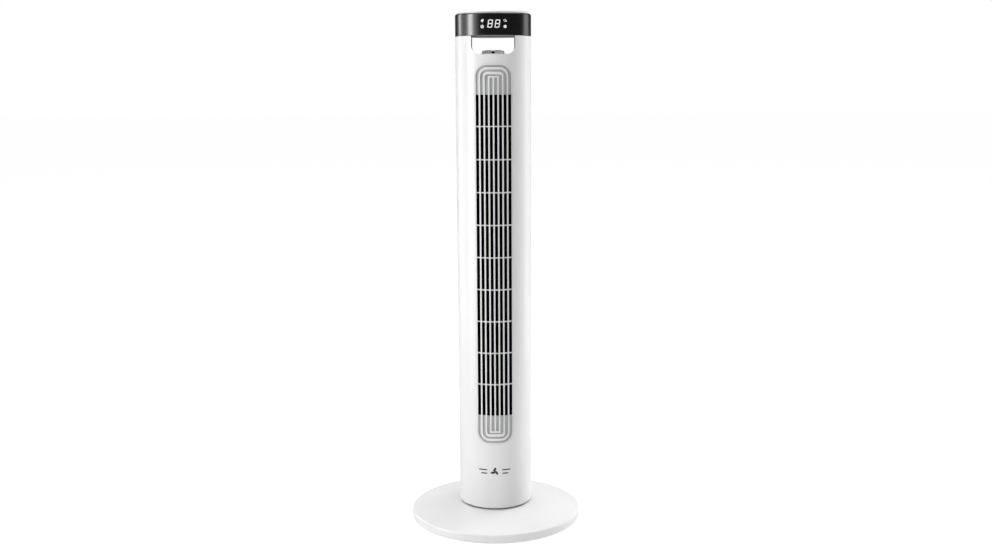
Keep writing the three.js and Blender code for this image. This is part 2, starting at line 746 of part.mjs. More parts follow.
// ---------------------------------------------------------------- motor
const motorTop = motorDeck - GAP - 3 - GAP;
const motorBottom = motorTop - MOTOR_HEIGHT;
const motorMiddle = (motorTop + motorBottom) / 2;
const coreRadius = MOTOR_RADIUS - BELL_WALL - GAP;
const coreInner = coreRadius - 7;
const windingInner = coreInner - GAP - 9;
const shaftWay = SHAFT_RADIUS + GAP;

function motorBell(outside, parting) {
  const up = Math.sign(outside - parting);
  const inside = outside - up * BELL_WALL;
  const profile = [
    [shaftWay, outside],
    [MOTOR_RADIUS, outside],
    [MOTOR_RADIUS, parting],
    [MOTOR_RADIUS - BELL_WALL, parting],
    [MOTOR_RADIUS - BELL_WALL, inside],
    [shaftWay + 4, inside],
    [shaftWay + 4, inside - up * 5],
    [shaftWay, inside - up * 5],
  ];
  return atImpeller(turned(up > 0 ? profile.reverse() : profile, MEDIUM));
}

piece(tower, "motor_top_bell", motorBell(motorTop, motorMiddle + GAP / 2), steel);
piece(tower, "motor_bottom_bell", motorBell(motorBottom, motorMiddle - GAP / 2), steel);
piece(
  tower,
  "stator_core",
  atImpeller(ring(coreInner, coreRadius, motorMiddle - 13, motorMiddle + 13, MEDIUM)),
  steel,
);
piece(
  tower,
  "stator_winding",
  atImpeller(
    ring(windingInner, coreInner - GAP, motorMiddle - 19, motorMiddle + 19, MEDIUM),
  ),
  copper,
);
piece(
  tower,
  "motor_damper",
  atImpeller(ring(shaftOpening + 2, shaftOpening + 12, motorTop + GAP, motorDeck - GAP, MEDIUM)),
  rubber,
);

// ---------------------------------------------------------------- impeller and its shaft
const impellerLow = ductLow + 5;
const impellerHigh = ductHigh - 5;
const hubHeight = 14;
const rotorHub = 10;
const discSheet = 2;

function blade() {
  const outer = IMPELLER_RADIUS - 0.5;
  const inner = outer - BLADE_DEPTH;
  const path = [[inner, 0], [outer, 4.8]];
  return raised(strip(path, BLADE_THICKNESS), impellerLow + discSheet / 2, impellerHigh - discSheet / 2);
}

function impeller() {
  const run = impellerHigh - impellerLow - discSheet;
  const discs = Array.from({ length: IMPELLER_DISCS }, (_, i) => {
    const low = impellerLow + (run * i) / (IMPELLER_DISCS - 1);
    const atEnd = i === 0 || i === IMPELLER_DISCS - 1;
    return atEnd
      ? disc(IMPELLER_RADIUS, low, low + discSheet, MEDIUM)
      : ring(IMPELLER_RADIUS - BLADE_DEPTH - 4, IMPELLER_RADIUS, low, low + discSheet, MEDIUM);
  });
  const blades = Array.from({ length: BLADES }, (_, i) => blade().rotate([0, 0, (360 * i) / BLADES]));
  const hub = disc(rotorHub, impellerLow, impellerLow + hubHeight, ROUND);
  const pivot = disc(PIVOT_RADIUS, impellerHigh - discSheet, bearingDeck + DECK_THICKNESS + 7, ROUND);
  const shaftBore = disc(shaftWay, 0, impellerLow + hubHeight - 2, ROUND);
  return atImpeller(cut(join(...discs, ...blades, hub, pivot), shaftBore));
}

function motorRotor() {
  return atImpeller(
    join(
      disc(windingInner - 0.8, motorMiddle - 14, motorMiddle + 14, MEDIUM),
      disc(SHAFT_RADIUS, motorBottom - 2, impellerLow + hubHeight - 2 - GAP, ROUND),
    ),
  );
}

piece(rotor, "impeller", impeller(), blackPlastic);
piece(rotor, "motor_rotor", motorRotor(), steel);

// ---------------------------------------------------------------- upper bearing
function bearingRubber() {
  const low = bearingDeck - GAP;
  const high = bearingDeck + DECK_THICKNESS + GAP;
  const body = rubberSeat - GAP;
  const flange = rubberSeat + 3;
  return atImpeller(
    turned(
      [
        [bushOuter + GAP, low - 2],
        [flange, low - 2],
        [flange, low],
        [body, low],
        [body, high],
        [flange, high],
        [flange, high + 2],
        [bushOuter + GAP, high + 2],
      ],
      MEDIUM,
    ),
  );
}
const bushOuter = PIVOT_RADIUS + GAP + 1.7;

piece(tower, "bearing_rubber", bearingRubber(), rubber);
piece(
  tower,
  "bearing_bush",
  atImpeller(ring(PIVOT_RADIUS + GAP, bushOuter, bearingDeck - 3, bearingDeck + DECK_THICKNESS + 5, ROUND)),
  bronze,
);

// ---------------------------------------------------------------- electrics in the bottom bay
const boardY = 28;
const boardLow = floorTop + 36;
const boardHigh = motorBottom - 8;
const boardWidth = 70;
const socketEnd = boardWidth / 2; // the display cable leaves the board at its right-hand side
const socketZ = boardHigh - 6;

function powerBoard() {
  const middle = (boardLow + boardHigh) / 2;
  return join(
    box(boardWidth, BOARD, boardHigh - boardLow, 0, boardY, middle),
    box(24, 16, 20, -18, boardY - 8, middle + 4),
    box(12, 9, 16, 8, boardY - 4, middle + 8),
    box(12, 9, 16, 24, boardY - 4, middle + 8),
    box(16, 7, 8, socketEnd - 8, boardY - 3, socketZ),
    box(40, 6, 7, 0, boardY - 3, boardLow + 5),
  );
}

piece(tower, "power_board", powerBoard(), board);
const capacitorHeight = 28;
const capacitorY = 42; // between the board and the rear wall
piece(
  tower,
  "run_capacitor",
  box(38, 18, capacitorHeight, 0, capacitorY, floorTop + GAP + capacitorHeight / 2),
  whitePlastic,
);

function cordGland() {
  const outside = TOWER_RADIUS + 2.2;
  const wallIn = wallAt(glandRadius + 3, shellInner) - GAP;
  const neck = glandRadius - GAP;
  const profile = [
    [3.7, wallIn - 3],
    [glandRadius + 3, wallIn - 3],
    [glandRadius + 3, wallIn],
    [neck, wallIn],
    [neck, TOWER_RADIUS + GAP],
    [glandRadius + 2, TOWER_RADIUS + GAP],
    [glandRadius + 1.2, outside],
    [3.7, outside],
  ];
  return turned(profile, ROUND).rotate([-90, 0, 0]).translate([0, 0, glandZ]);
}

piece(tower, "cord_gland", cordGland(), rubber);

// ---------------------------------------------------------------- carrying hole
const railHeight = 1.6;
const remoteY = 0;

function handleTunnel() {
  const round = disc(lining, handleFloor - WALL - 1, shellTop, FINE);
  const outside = pushed(handleOutline(WALL, shellTop), -far, far);
  const inside = pushed(handleOutline(0, bandTop), -far, far);
  const rails = [-1, 1].map((side) =>
    box(2, REMOTE_LENGTH, railHeight + 0.5, side * (REMOTE_WIDTH / 2 + GAP + 1), remoteY, handleFloor + railHeight / 2 - 0.25),
  );
  return join(cut(outside, inside).intersect(round), ...rails);
}

piece(tower, "handle_tunnel", handleTunnel(), whitePlastic);

// ---------------------------------------------------------------- head
const bandInner = TOWER_RADIUS - BAND_WALL;
const headFit = bandInner - GAP;
const coverSkirt = 6;
const coverUnder = capTop - WALL;
const keyFlange = 2;
const switchHeight = 3.5;
const keyBoardTop = coverUnder - GAP - keyFlange - 2 - KEY_TRAVEL - GAP - switchHeight;
const socketHeight = 5;
const keySocketX = 44;
const keySocketY = 22;
const keyPlaces = Array.from({ length: KEY_COUNT }, (_, i) => {
  const a = -Math.PI / 2 + (i - (KEY_COUNT - 1) / 2) * KEY_STEP;
  return [KEY_CIRCLE * Math.cos(a), KEY_CIRCLE * Math.sin(a)];
});

function chassis() {
  const body = turned(
    [
      [0, handleCeiling],
      [headFit, handleCeiling],
      [headFit, handleCeiling + 10],
      [headFit - WALL, handleCeiling + 10],
      [headFit - WALL, handleCeiling + WALL],
      [0, handleCeiling + WALL],
    ],
    FINE,
  );
  const boardPosts = [[-38, 24], [38, -2], [-38, -2], [0, 44]].map(([x, y]) =>
    disc(3, handleCeiling + 1, keyBoardTop - BOARD - GAP, SMALL).translate([x, y, 0]),
  );
  return cut(join(body, ...boardPosts), cableWay(2.6));
}

function displayBand() {
  return turned(
    [
      [bandInner, handleCeiling],
      [TOWER_RADIUS, handleCeiling],
      ...arc(TOWER_RADIUS - BAND_ROUND, bandTop - BAND_ROUND, BAND_ROUND, 0, 75, 4),
      [bandInner, bandTop],
    ],
    FINE,
  );
}

function topCover() {
  const panel = turned(
    [
      [headFit - WALL, bandTop - coverSkirt],
      [headFit, bandTop - coverSkirt],
      [headFit, capTop - CAP_ROUND],
      ...arc(headFit - CAP_ROUND, capTop - CAP_ROUND, CAP_ROUND, 15, 90, 4),
      [0, capTop],
      [0, coverUnder],
      [headFit - CAP_ROUND, coverUnder],
      [headFit - WALL, coverUnder - 1.5],
    ],
    FINE,
  );
  const holes = keyPlaces.map(([x, y]) => disc(KEY_RADIUS + GAP, 0, 2 * capTop, ROUND).translate([x, y, 0]));
  return cut(panel, ...holes);
}

// A round key with the retaining flange that holds it under the cover, and a stem over its switch.
function key() {
  const flangeTop = coverUnder - GAP;
  const flangeLow = flangeTop - keyFlange;
  return turned(
    [
      [0, flangeLow - 2],
      [2, flangeLow - 2],
      [2, flangeLow],
      [KEY_RADIUS + 1.6, flangeLow],
      [KEY_RADIUS + 1.6, flangeTop],
      [KEY_RADIUS, flangeTop],
      [KEY_RADIUS, capTop + KEY_PROUD - 0.4],
      [KEY_RADIUS - 0.6, capTop + KEY_PROUD],
      [0, capTop + KEY_PROUD],
    ],
    ROUND,
  );
}

function keyBoard() {
  const plate = disc(headFit - 4, keyBoardTop - BOARD, keyBoardTop, MEDIUM).intersect(
    box(far, far, 2 * bandTop, 0, 26 - far / 2, bandTop),
  );
  const switches = keyPlaces.map(([x, y]) => {
    const can = box(6, 6, switchHeight - 1, x, y, keyBoardTop + (switchHeight - 1) / 2);
    return join(can, disc(1.7, keyBoardTop, keyBoardTop + switchHeight, SMALL).translate([x, y, 0]));
  });
  const socket = box(12, 6, socketHeight, keySocketX, keySocketY, keyBoardTop - BOARD - socketHeight / 2);
  return join(plate, ...switches, socket);
}

const displayY = -(headFit - 14);
const displayLow = handleCeiling + WALL + GAP;
const displayHigh = keyBoardTop - BOARD - GAP;
const displayWidth = 56;
const moduleDepth = 7;
const moduleHeight = 17;
const moduleZ = handleCeiling + BAND_HEIGHT * 0.4;

piece(tower, "head_chassis", chassis(), greyPlastic);
piece(tower, "display_band", displayBand(), blackGloss);
piece(tower, "top_cover", topCover(), greyPlastic);
piece(tower, "key_board", keyBoard(), board);
piece(
  tower,
  "display_board",
  box(displayWidth, BOARD, displayHigh - displayLow, 0, displayY, (displayLow + displayHigh) / 2),
  board,
);
piece(
  tower,
  "digit_module",
  box(34, moduleDepth, moduleHeight, 0, displayY - (BOARD + moduleDepth) / 2 - GAP, moduleZ),
  blackPlastic,
);
const keyNames = ["timer_key", "mode_key", "power_key", "speed_key", "swing_key"];
keyPlaces.forEach(([x, y], i) => {
  piece(tower, keyNames[i], key(), whitePlastic).position.set(x, y, 0);
});

// The lead from the power board up the side of the duct and past the carrying hole to the key board.
function displayCable() {
  const plugZ = keyBoardTop - BOARD - socketHeight - GAP;
  const points = [
    [socketEnd + GAP, boardY - 3, socketZ],
    [socketEnd + 6, boardY - 3, socketZ],
    [cableX, cableY, socketZ + 12],
    [cableX, cableY, motorDeck],
    [cableX, cableY, (motorDeck + handleFloor) / 2],
    [cableX, cableY, handleFloor],
    [cableX, cableY, handleCeiling + WALL + 4],
    [(cableX + keySocketX) / 2, (cableY + keySocketY) / 2, plugZ - 10],
    [keySocketX, keySocketY, plugZ - 4],
    [keySocketX, keySocketY, plugZ],
  ].map(([x, y, z]) => new THREE.Vector3(x, y, z));
  const path = new THREE.CatmullRomCurve3(points, false, "centripetal");
  const section = new THREE.Shape().absarc(0, 0, cableRadius, 0, 2 * Math.PI);
  const options = { steps: 40, curveSegments: 4, bevelEnabled: false, extrudePath: path };
  return solid(new THREE.ExtrudeGeometry(section, options));
}

piece(tower, "display_cable", displayCable(), greyPlastic);

// ---------------------------------------------------------------- remote control
const remoteLow = handleFloor + GAP;
const remoteHigh = remoteLow + REMOTE_HEIGHT;
const trayWidth = 2 * CELL_RADIUS + 5;
const trayLength = 2 * CELL_RADIUS + 4;
const trayHeight = CELL_HEIGHT + 1;
const trayLow = remoteLow + 1.2;
const remoteBack = remoteY + REMOTE_LENGTH / 2;
const remoteFront = remoteY - REMOTE_LENGTH / 2;
const irHalf = 2.6;

function remoteCase() {
  const outline = roundRectangle(-REMOTE_WIDTH / 2, REMOTE_WIDTH / 2, remoteFront, remoteBack, REMOTE_CORNER);
  const slot = box(
    trayWidth + 2 * GAP,
    trayLength + 2 * GAP,
    trayHeight + 2 * GAP,
    0,
    remoteBack - trayLength / 2,
    trayLow + trayHeight / 2,
  );
  const window = box(2 * irHalf + 2 * GAP, 4 + 2 * GAP, REMOTE_HEIGHT - 2.4 + 2 * GAP, 0, remoteFront + 1.5, (remoteLow + remoteHigh) / 2);
  return cut(raised(outline, remoteLow, remoteHigh), slot, window);
}

const sheetThickness = 0.5;
const buttonRadius = 5;
const buttonRows = [0, 1, 2];
const buttonSpacing = 17; // along the remote, and as much across it

function remoteKeypad() {
  const sheet = raised(
    roundRectangle(-REMOTE_WIDTH / 2 + 3, REMOTE_WIDTH / 2 - 3, remoteFront + 5, remoteBack - 16, 3),
    remoteHigh + GAP,
    remoteHigh + GAP + sheetThickness,
  );
  const domes = [];
  for (const row of buttonRows) {
    for (const side of [-1, 1]) {
      const place = [(side * buttonSpacing) / 2, remoteFront + 16 + row * buttonSpacing, remoteHigh + GAP + 0.4];
      domes.push(turned([[0, 0], [buttonRadius, 0], [buttonRadius - 1, 0.8], [0, 0.8]], SMALL).translate(place));
    }
  }
  return join(sheet, ...domes);
}

function batteryTray() {
  const end = remoteBack - GAP;
  const body = box(trayWidth, trayLength, trayHeight, 0, end - trayLength / 2, trayLow + trayHeight / 2);
  const lip = box(trayWidth + 3, 1.5, trayHeight + 1, 0, remoteBack + 0.75 + GAP, trayLow + trayHeight / 2);
  const bridge = box(trayWidth - 4, 2, trayHeight - 0.6, 0, remoteBack, trayLow + trayHeight / 2);
  const pocket = disc(CELL_RADIUS + GAP, trayLow + 0.6, remoteHigh, MEDIUM).translate([0, end - trayLength / 2, 0]);
  return cut(join(body, lip, bridge), pocket);
}

piece(remote, "remote_case", remoteCase(), whitePlastic);
piece(remote, "remote_keypad", remoteKeypad(), greyPlastic);
piece(
  remote,
  "remote_ir_window",
  box(2 * irHalf, 3.5, REMOTE_HEIGHT - 2.4, 0, remoteFront + 1.75 - GAP, (remoteLow + remoteHigh) / 2),
  darkLens,
);
piece(remote, "remote_battery_tray", batteryTray(), whitePlastic);
piece(
  remote,
  "coin_cell",
  disc(CELL_RADIUS, trayLow + 0.6 + GAP, trayLow + 0.6 + GAP + CELL_HEIGHT - 0.2, MEDIUM)
    .translate([0, remoteBack - GAP - trayLength / 2, 0]),
  steel,
);

export default fan;
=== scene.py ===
# %% [markdown]
# # Dressing a tower fan
# This lesson takes the exact model of a tower fan, a slim upright casing on a round foot, and gives it the
# surfaces that an eye expects: smooth moulded shells, a slotted outlet, a smoked display band with lit
# digits, and plastics that catch the light. The exact model stays underneath as the frame. Every size
# below is read from it, so the looks fit without measuring anything twice.

# %% Load the frame
import json
import math
import bpy
from mathutils import Matrix, Vector


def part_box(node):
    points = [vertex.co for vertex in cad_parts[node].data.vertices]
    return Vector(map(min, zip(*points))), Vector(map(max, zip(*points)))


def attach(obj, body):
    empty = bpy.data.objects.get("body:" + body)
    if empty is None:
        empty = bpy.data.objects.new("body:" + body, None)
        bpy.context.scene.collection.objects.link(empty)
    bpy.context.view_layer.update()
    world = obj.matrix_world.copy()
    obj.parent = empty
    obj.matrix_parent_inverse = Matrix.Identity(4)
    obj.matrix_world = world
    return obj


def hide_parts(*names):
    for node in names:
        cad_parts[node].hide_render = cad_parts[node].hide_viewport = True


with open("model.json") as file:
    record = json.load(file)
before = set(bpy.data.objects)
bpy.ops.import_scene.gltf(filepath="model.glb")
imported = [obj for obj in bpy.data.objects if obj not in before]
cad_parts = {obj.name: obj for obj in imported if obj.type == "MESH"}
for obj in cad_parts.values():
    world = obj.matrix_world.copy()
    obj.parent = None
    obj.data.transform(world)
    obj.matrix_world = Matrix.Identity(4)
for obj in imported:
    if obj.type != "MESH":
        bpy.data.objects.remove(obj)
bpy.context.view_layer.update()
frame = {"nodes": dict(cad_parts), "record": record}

MM = 0.001
gap = 0.3 * MM  # between pieces that touch

# %% [markdown]
# ## The camera
# A product picture of something this tall is taken from far off with a long lens, at about the height of
# the display and tilted down to the foot. The small roll lets the fan lean a hair to the left.

# %% Place the camera
camera = bpy.data.objects.new("camera", bpy.data.cameras.new("camera"))
bpy.context.scene.collection.objects.link(camera)
camera.data.lens = 42.72
camera.data.sensor_width = 36
tilt = Matrix.Rotation(math.radians(90 - 9.41), 4, "X")
roll = Matrix.Rotation(math.radians(-0.32), 4, "Z")
camera.matrix_world = Matrix.Translation((2.85 * MM, -2.2017, 0.8291)) @ tilt @ roll
bpy.context.scene.camera = camera
print("camera", round(camera.location.length, 2), "m from the foot")

# %% [markdown]
# ## Finishes
# Moulded plastic is never one flat colour. Its gloss wanders a little from place to place, and its skin has
# a faint orange peel. One helper gives every finish these three things from noise on Object coordinates,
# so they stay put when the piece moves. What is even all over is set on the shader's own sockets.


# %% A helper for finishes
def finish(name, dark, light, roughness, grain=400, bump=0.01, metal=0.0, coat=0.0, specular=0.5,
           stretch=(1, 1, 1)):
    """A finish that wanders between two colours and two roughnesses, with a fine grain raised by bump mm."""
    made = bpy.data.materials.new(name)
    made.use_nodes = True
    nodes, links = made.node_tree.nodes, made.node_tree.links
    shader = nodes["Principled BSDF"]
    shader.inputs["Metallic"].default_value = metal
    shader.inputs["Coat Weight"].default_value = coat
    shader.inputs["Coat Roughness"].default_value = 0.06
    shader.inputs["Specular IOR Level"].default_value = specular
    place = nodes.new("ShaderNodeTexCoord")
    turn = nodes.new("ShaderNodeMapping")
    turn.inputs["Scale"].default_value = stretch
    links.new(place.outputs["Object"], turn.inputs["Vector"])
    cloud = nodes.new("ShaderNodeTexNoise")
    cloud.inputs["Scale"].default_value = 14
    cloud.inputs["Detail"].default_value = 5
    links.new(turn.outputs["Vector"], cloud.inputs["Vector"])
    tint = nodes.new("ShaderNodeValToRGB")
    tint.color_ramp.elements[0].position = 0.35
    tint.color_ramp.elements[1].position = 0.65
    tint.color_ramp.elements[0].color = (*dark, 1)
    tint.color_ramp.elements[1].color = (*light, 1)
    links.new(cloud.outputs["Fac"], tint.inputs["Fac"])
    links.new(tint.outputs["Color"], shader.inputs["Base Color"])
    gloss = nodes.new("ShaderNodeMapRange")
    gloss.inputs["From Min"].default_value = 0.3
    gloss.inputs["From Max"].default_value = 0.7
    gloss.inputs["To Min"].default_value = roughness[0]
    gloss.inputs["To Max"].default_value = roughness[1]
    links.new(cloud.outputs["Fac"], gloss.inputs["Value"])
    links.new(gloss.outputs["Result"], shader.inputs["Roughness"])
    fine = nodes.new("ShaderNodeTexNoise")
    fine.inputs["Scale"].default_value = grain
    fine.inputs["Detail"].default_value = 3
    links.new(turn.outputs["Vector"], fine.inputs["Vector"])
    raised = nodes.new("ShaderNodeBump")
    raised.inputs["Strength"].default_value = 0.5
    raised.inputs["Distance"].default_value = bump * MM
    links.new(fine.outputs["Fac"], raised.inputs["Height"])
    links.new(raised.outputs["Normal"], shader.inputs["Normal"])
    return made


# %% The fan's finishes
white = finish("white_moulding", (0.83, 0.83, 0.835), (0.85, 0.85, 0.855), (0.3, 0.38), 500, 0.012,
               specular=0.3)
cap_grey = finish("cap_grey", (0.76, 0.765, 0.77), (0.79, 0.795, 0.8), (0.32, 0.4), 700, 0.012)
ceiling_grey = finish("ceiling_grey", (0.4, 0.405, 0.41), (0.44, 0.445, 0.45), (0.4, 0.5), 900, 0.02)
smoked = finish("smoked_band", (0.001, 0.001, 0.0011), (0.0018, 0.0018, 0.002), (0.22, 0.27), 60, 0.004,
                specular=1.0)
inner_black = finish("inner_black", (0.0015, 0.0015, 0.0017), (0.003, 0.003, 0.0032), (0.6, 0.75), 900,
                     0.03, specular=0.15)
soft_black = finish("soft_black", (0.014, 0.014, 0.015), (0.022, 0.022, 0.023), (0.45, 0.6), 1100, 0.04)
rubber = finish("rubber", (0.012, 0.012, 0.012), (0.02, 0.02, 0.02), (0.7, 0.85), 600, 0.06, specular=0.3)
acetal = finish("acetal", (0.74, 0.73, 0.68), (0.8, 0.79, 0.74), (0.35, 0.45), 500, 0.01)
steel = finish("rolled_steel", (0.42, 0.43, 0.45), (0.55, 0.56, 0.58), (0.25, 0.42), 350, 0.01, 1.0,
               stretch=(1, 1, 12))
copper = finish("enamelled_copper", (0.45, 0.13, 0.04), (0.66, 0.26, 0.1), (0.25, 0.4), 700, 0.15, 1.0,
                stretch=(1, 1, 6))
bronze = finish("sintered_bronze", (0.36, 0.21, 0.07), (0.5, 0.32, 0.12), (0.45, 0.6), 1500, 0.05, 1.0)
circuit = finish("circuit_board", (0.012, 0.09, 0.03), (0.02, 0.15, 0.05), (0.3, 0.45), 250, 0.05)
# painted shade: a darker grey for the floors of the blind grooves, standing in for the shadow that falls in
# them
groove_painted_shade = finish("groove_painted_shade", (0.53, 0.535, 0.54), (0.57, 0.575, 0.58), (0.45, 0.55), 900, 0.02,
                     specular=0.3)
print_dark = finish("printed_dark", (0.018, 0.018, 0.02), (0.03, 0.03, 0.032), (0.35, 0.45), 900, 0.005)
print_grey = finish("printed_grey", (0.2, 0.2, 0.21), (0.26, 0.26, 0.27), (0.4, 0.5), 900, 0.005)
key_white = finish("key_white", (0.8, 0.8, 0.8), (0.84, 0.84, 0.84), (0.3, 0.38), 700, 0.01)
red_lens = finish("remote_lens", (0.01, 0.004, 0.008), (0.02, 0.006, 0.012), (0.05, 0.09), 90, 0.003,
                  coat=0.5)

lit = finish("lit_symbols", (0.8, 0.8, 0.8), (0.85, 0.85, 0.85), (0.4, 0.5), 300, 0.002)
lit.node_tree.nodes["Principled BSDF"].inputs["Emission Color"].default_value = (0.93, 0.96, 1, 1)
lit.node_tree.nodes["Principled BSDF"].inputs["Emission Strength"].default_value = 0.28
print("finishes:", len(bpy.data.materials))

# %% [markdown]
# ## Finishing a piece
# Each piece ends the same way: its place goes into its mesh, its curved faces are shaded smooth while its
# edges stay crisp, and a weighted normal modifier lets the large faces stay flat next to small roundings.
# Then it takes its finish and is tied to the body that carries it, and the exact solid it stands for is
# hidden.


# %% Helpers for choosing and finishing
def only(piece):
    """Selects this piece and nothing else."""
    bpy.ops.object.select_all(action="DESELECT")
    piece.select_set(True)
    bpy.context.view_layer.objects.active = piece
    return piece


def complete(piece, name, looks, body, slot, *nodes, crisp=32):
    """Shades and dresses a finished piece, and ties it to its body; edges over crisp degrees stay sharp."""
    only(piece)
    bpy.ops.object.transform_apply(location=True, rotation=True, scale=True)
    bpy.ops.object.shade_smooth_by_angle(angle=math.radians(crisp))
    even = piece.modifiers.new("even", "WEIGHTED_NORMAL")
    even.keep_sharp = True
    bpy.ops.object.modifier_apply(modifier=even.name)
    piece.name = piece.data.name = name
    piece.data.materials.clear()
    piece.data.materials.append(looks)
    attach(piece, body)
    if nodes:
        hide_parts(*nodes)
    print(f"{name}: {len(piece.data.polygons)} faces")
    return piece


# %% [markdown]
# ## Turned pieces
# Most of the fan is round, and a round piece is easy to raise like a pot: a circle is drawn once, then
# extruded and widened or narrowed ring by ring. A profile that comes back to its first ring makes a closed
# wall, and a filled circle makes a solid.


# %% Helpers for turned pieces
def bend(radius, height, size, start, end, steps=5):
    """Rings round a rounded edge, from one angle to another in degrees."""
    angles = [math.radians(start + (end - start) * i / steps) for i in range(steps + 1)]
    return [(radius + size * math.cos(a), height + size * math.sin(a)) for a in angles]


def turned(rings, around=128, solid=False, centre=(0, 0)):
    """Raises a round piece ring by ring from (radius, height) pairs."""
    bpy.ops.object.select_all(action="DESELECT")
    radius, height = rings[0]
    bpy.ops.mesh.primitive_circle_add(
        vertices=around, radius=radius, fill_type="NGON" if solid else "NOTHING", location=(*centre, height))
    bpy.ops.object.mode_set(mode="EDIT")
    bpy.ops.mesh.select_all(action="SELECT")
    for wide, high in rings[1:] + ([] if solid else rings[:1]):
        bpy.ops.mesh.extrude_region_move(TRANSFORM_OT_translate={"value": (0, 0, high - height)})
        factor = wide / radius
        bpy.ops.transform.resize(value=(factor, factor, 1), center_override=(*centre, high))
        radius, height = wide, high
    bpy.ops.mesh.select_all(action="SELECT")
    bpy.ops.mesh.remove_doubles(threshold=1e-6)
    bpy.ops.mesh.normals_make_consistent(inside=False)
    bpy.ops.object.mode_set(mode="OBJECT")
    bpy.ops.object.transform_apply(location=True, rotation=True, scale=True)
    return bpy.context.active_object


# %% [markdown]
# ## Plates and cuts
# Openings in the casing are rounded rectangles seen from the front. A plane is stretched to size, its
# corners are bevelled round, and it is pushed through from front to back. A boolean modifier then cuts or
# keeps what it covers, and is applied at once.


# %% Helpers for plates and cuts
def plate(left, right, low, high, front, back, corner=0.0, corners="all", steps=8):
    """A slab seen from the front, from y = front to y = back, with all its corners or the low ones round."""
    bpy.ops.object.select_all(action="DESELECT")
    middle = ((left + right) / 2, front, (low + high) / 2)
    bpy.ops.mesh.primitive_plane_add(size=1, location=middle, rotation=(math.pi / 2, 0, 0))
    made = bpy.context.active_object
    bpy.ops.object.mode_set(mode="EDIT")
    bpy.ops.mesh.select_all(action="SELECT")
    bpy.ops.transform.resize(value=(right - left, 1, high - low), center_override=middle)
    bpy.ops.object.mode_set(mode="OBJECT")
    bpy.ops.object.transform_apply(location=True, rotation=True, scale=True)
    for point in made.data.vertices:
        point.select = corners == "all" or point.co.z < middle[2]
    for line in made.data.edges:
        line.select = False
    for face in made.data.polygons:
        face.select = False
    bpy.ops.object.mode_set(mode="EDIT")
    bpy.context.tool_settings.mesh_select_mode = (True, False, False)
    if corner:
        bpy.ops.mesh.bevel(affect="VERTICES", offset=corner, offset_type="OFFSET",
                           segments=steps, profile=0.5)
    bpy.ops.mesh.select_all(action="SELECT")
    bpy.ops.mesh.extrude_region_move(TRANSFORM_OT_translate={"value": (0, back - front, 0)})
    bpy.ops.mesh.select_all(action="SELECT")
    bpy.ops.mesh.normals_make_consistent(inside=False)
    bpy.ops.object.mode_set(mode="OBJECT")
    return made


def shape(target, cutter, how="DIFFERENCE", keep=False):
    """Cuts, keeps or joins what the cutter covers."""
    only(target)
    change = target.modifiers.new("shape", "BOOLEAN")
    change.object = cutter
    change.operation = how
    change.solver = "EXACT"
    bpy.ops.object.modifier_apply(modifier=change.name)
    if not keep:
        bpy.data.objects.remove(cutter)
    return target


def joined(*pieces):
    """Several shapes as one mesh."""
    bpy.ops.object.select_all(action="DESELECT")
    for piece in pieces:
        piece.select_set(True)
    bpy.context.view_layer.objects.active = pieces[0]
    bpy.ops.object.join()
    return bpy.context.active_object


# %% [markdown]
# ## The foot
# The foot is a wide shallow dish turned upside down. Its rim has a soft edge, its top falls away from a
# small crown under the tower, and a well in the crown holds the swing gears. Four rubber feet and an
# underplate with ribs close it from below.

# %% Turn the foot
foot_low, foot_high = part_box("base_cover")
foot_radius = foot_high.x
crown = foot_high.z
rim_height = 15.3 * MM
rim_top = foot_low.z + rim_height
wall = 2.5 * MM
tower_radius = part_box("display_band")[1].x
crown_radius = tower_radius - 2 * MM
well_radius = crown_radius - 3 * MM
well_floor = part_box("swing_sector_gear")[0].z - gap
ledge_low, ledge_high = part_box("swivel_washer")
ledge_outer = ledge_high.x + 0.5 * MM
ledge_inner = ledge_outer - 6 * MM
slope = math.degrees(math.atan2(crown - rim_top, foot_radius - crown_radius))
foot = turned([
    (foot_radius - wall, foot_low.z),
    *bend(foot_radius - 0.8 * MM, foot_low.z + 0.8 * MM, 0.8 * MM, -90, 0, 3),
    *bend(foot_radius - 3 * MM, rim_top - 3 * MM, 3 * MM, 0, 90 - slope, 8),
    *bend(crown_radius, crown - 6 * MM, 6 * MM, 90 - slope, 90, 4),
    (well_radius, crown),
    (well_radius, well_floor),
    (ledge_outer, well_floor),
    (ledge_outer, crown),
    (ledge_inner, crown),
    (ledge_inner, well_floor - wall),
    (well_radius + wall, well_floor - wall),
    (crown_radius, crown - 1.6 * wall),
    (foot_radius - wall, rim_top - 1.6 * wall),
], around=192)
complete(foot, "foot_shell", white, "base", "white_plastic", "base_cover")

# %% [markdown]
# The underplate is a pressed disc with two raised ribs, and holes where its screws go through.

# %% Turn the underplate
plate_low, plate_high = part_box("base_underplate")
rib = 0.9 * MM
plate_hole = 23 * MM
clear_radius = 1.8 * MM  # of the holes that screws pass through
plate_rings = [(plate_hole, plate_low.z), (50 * MM, plate_low.z)]
for middle in (54 * MM, 120 * MM):
    plate_rings += bend(middle, plate_low.z, rib, 180, 0, 6)[1:-1]
plate_rings += [(plate_high.x, plate_low.z), (plate_high.x, plate_high.z), (plate_hole, plate_high.z)]
underplate = turned(plate_rings, around=128)
for number in (1, 2, 3):
    low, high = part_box(f"underplate_screw_{number}")
    middle = (low + high) / 2
    shape(underplate, turned([(clear_radius, 0), (clear_radius, 0.02)], 24, True, (middle.x, middle.y)))
complete(underplate, "underplate_pressed", soft_black, "base", "black_plastic", "base_underplate")

# %% [markdown]
# One rubber foot is turned with a groove round its sole, and copied to all four places.


# %% Turn the rubber feet
def copied(piece):
    """A copy of a piece with its own mesh."""
    twin = piece.copy()
    twin.data = piece.data.copy()
    bpy.context.scene.collection.objects.link(twin)
    return twin


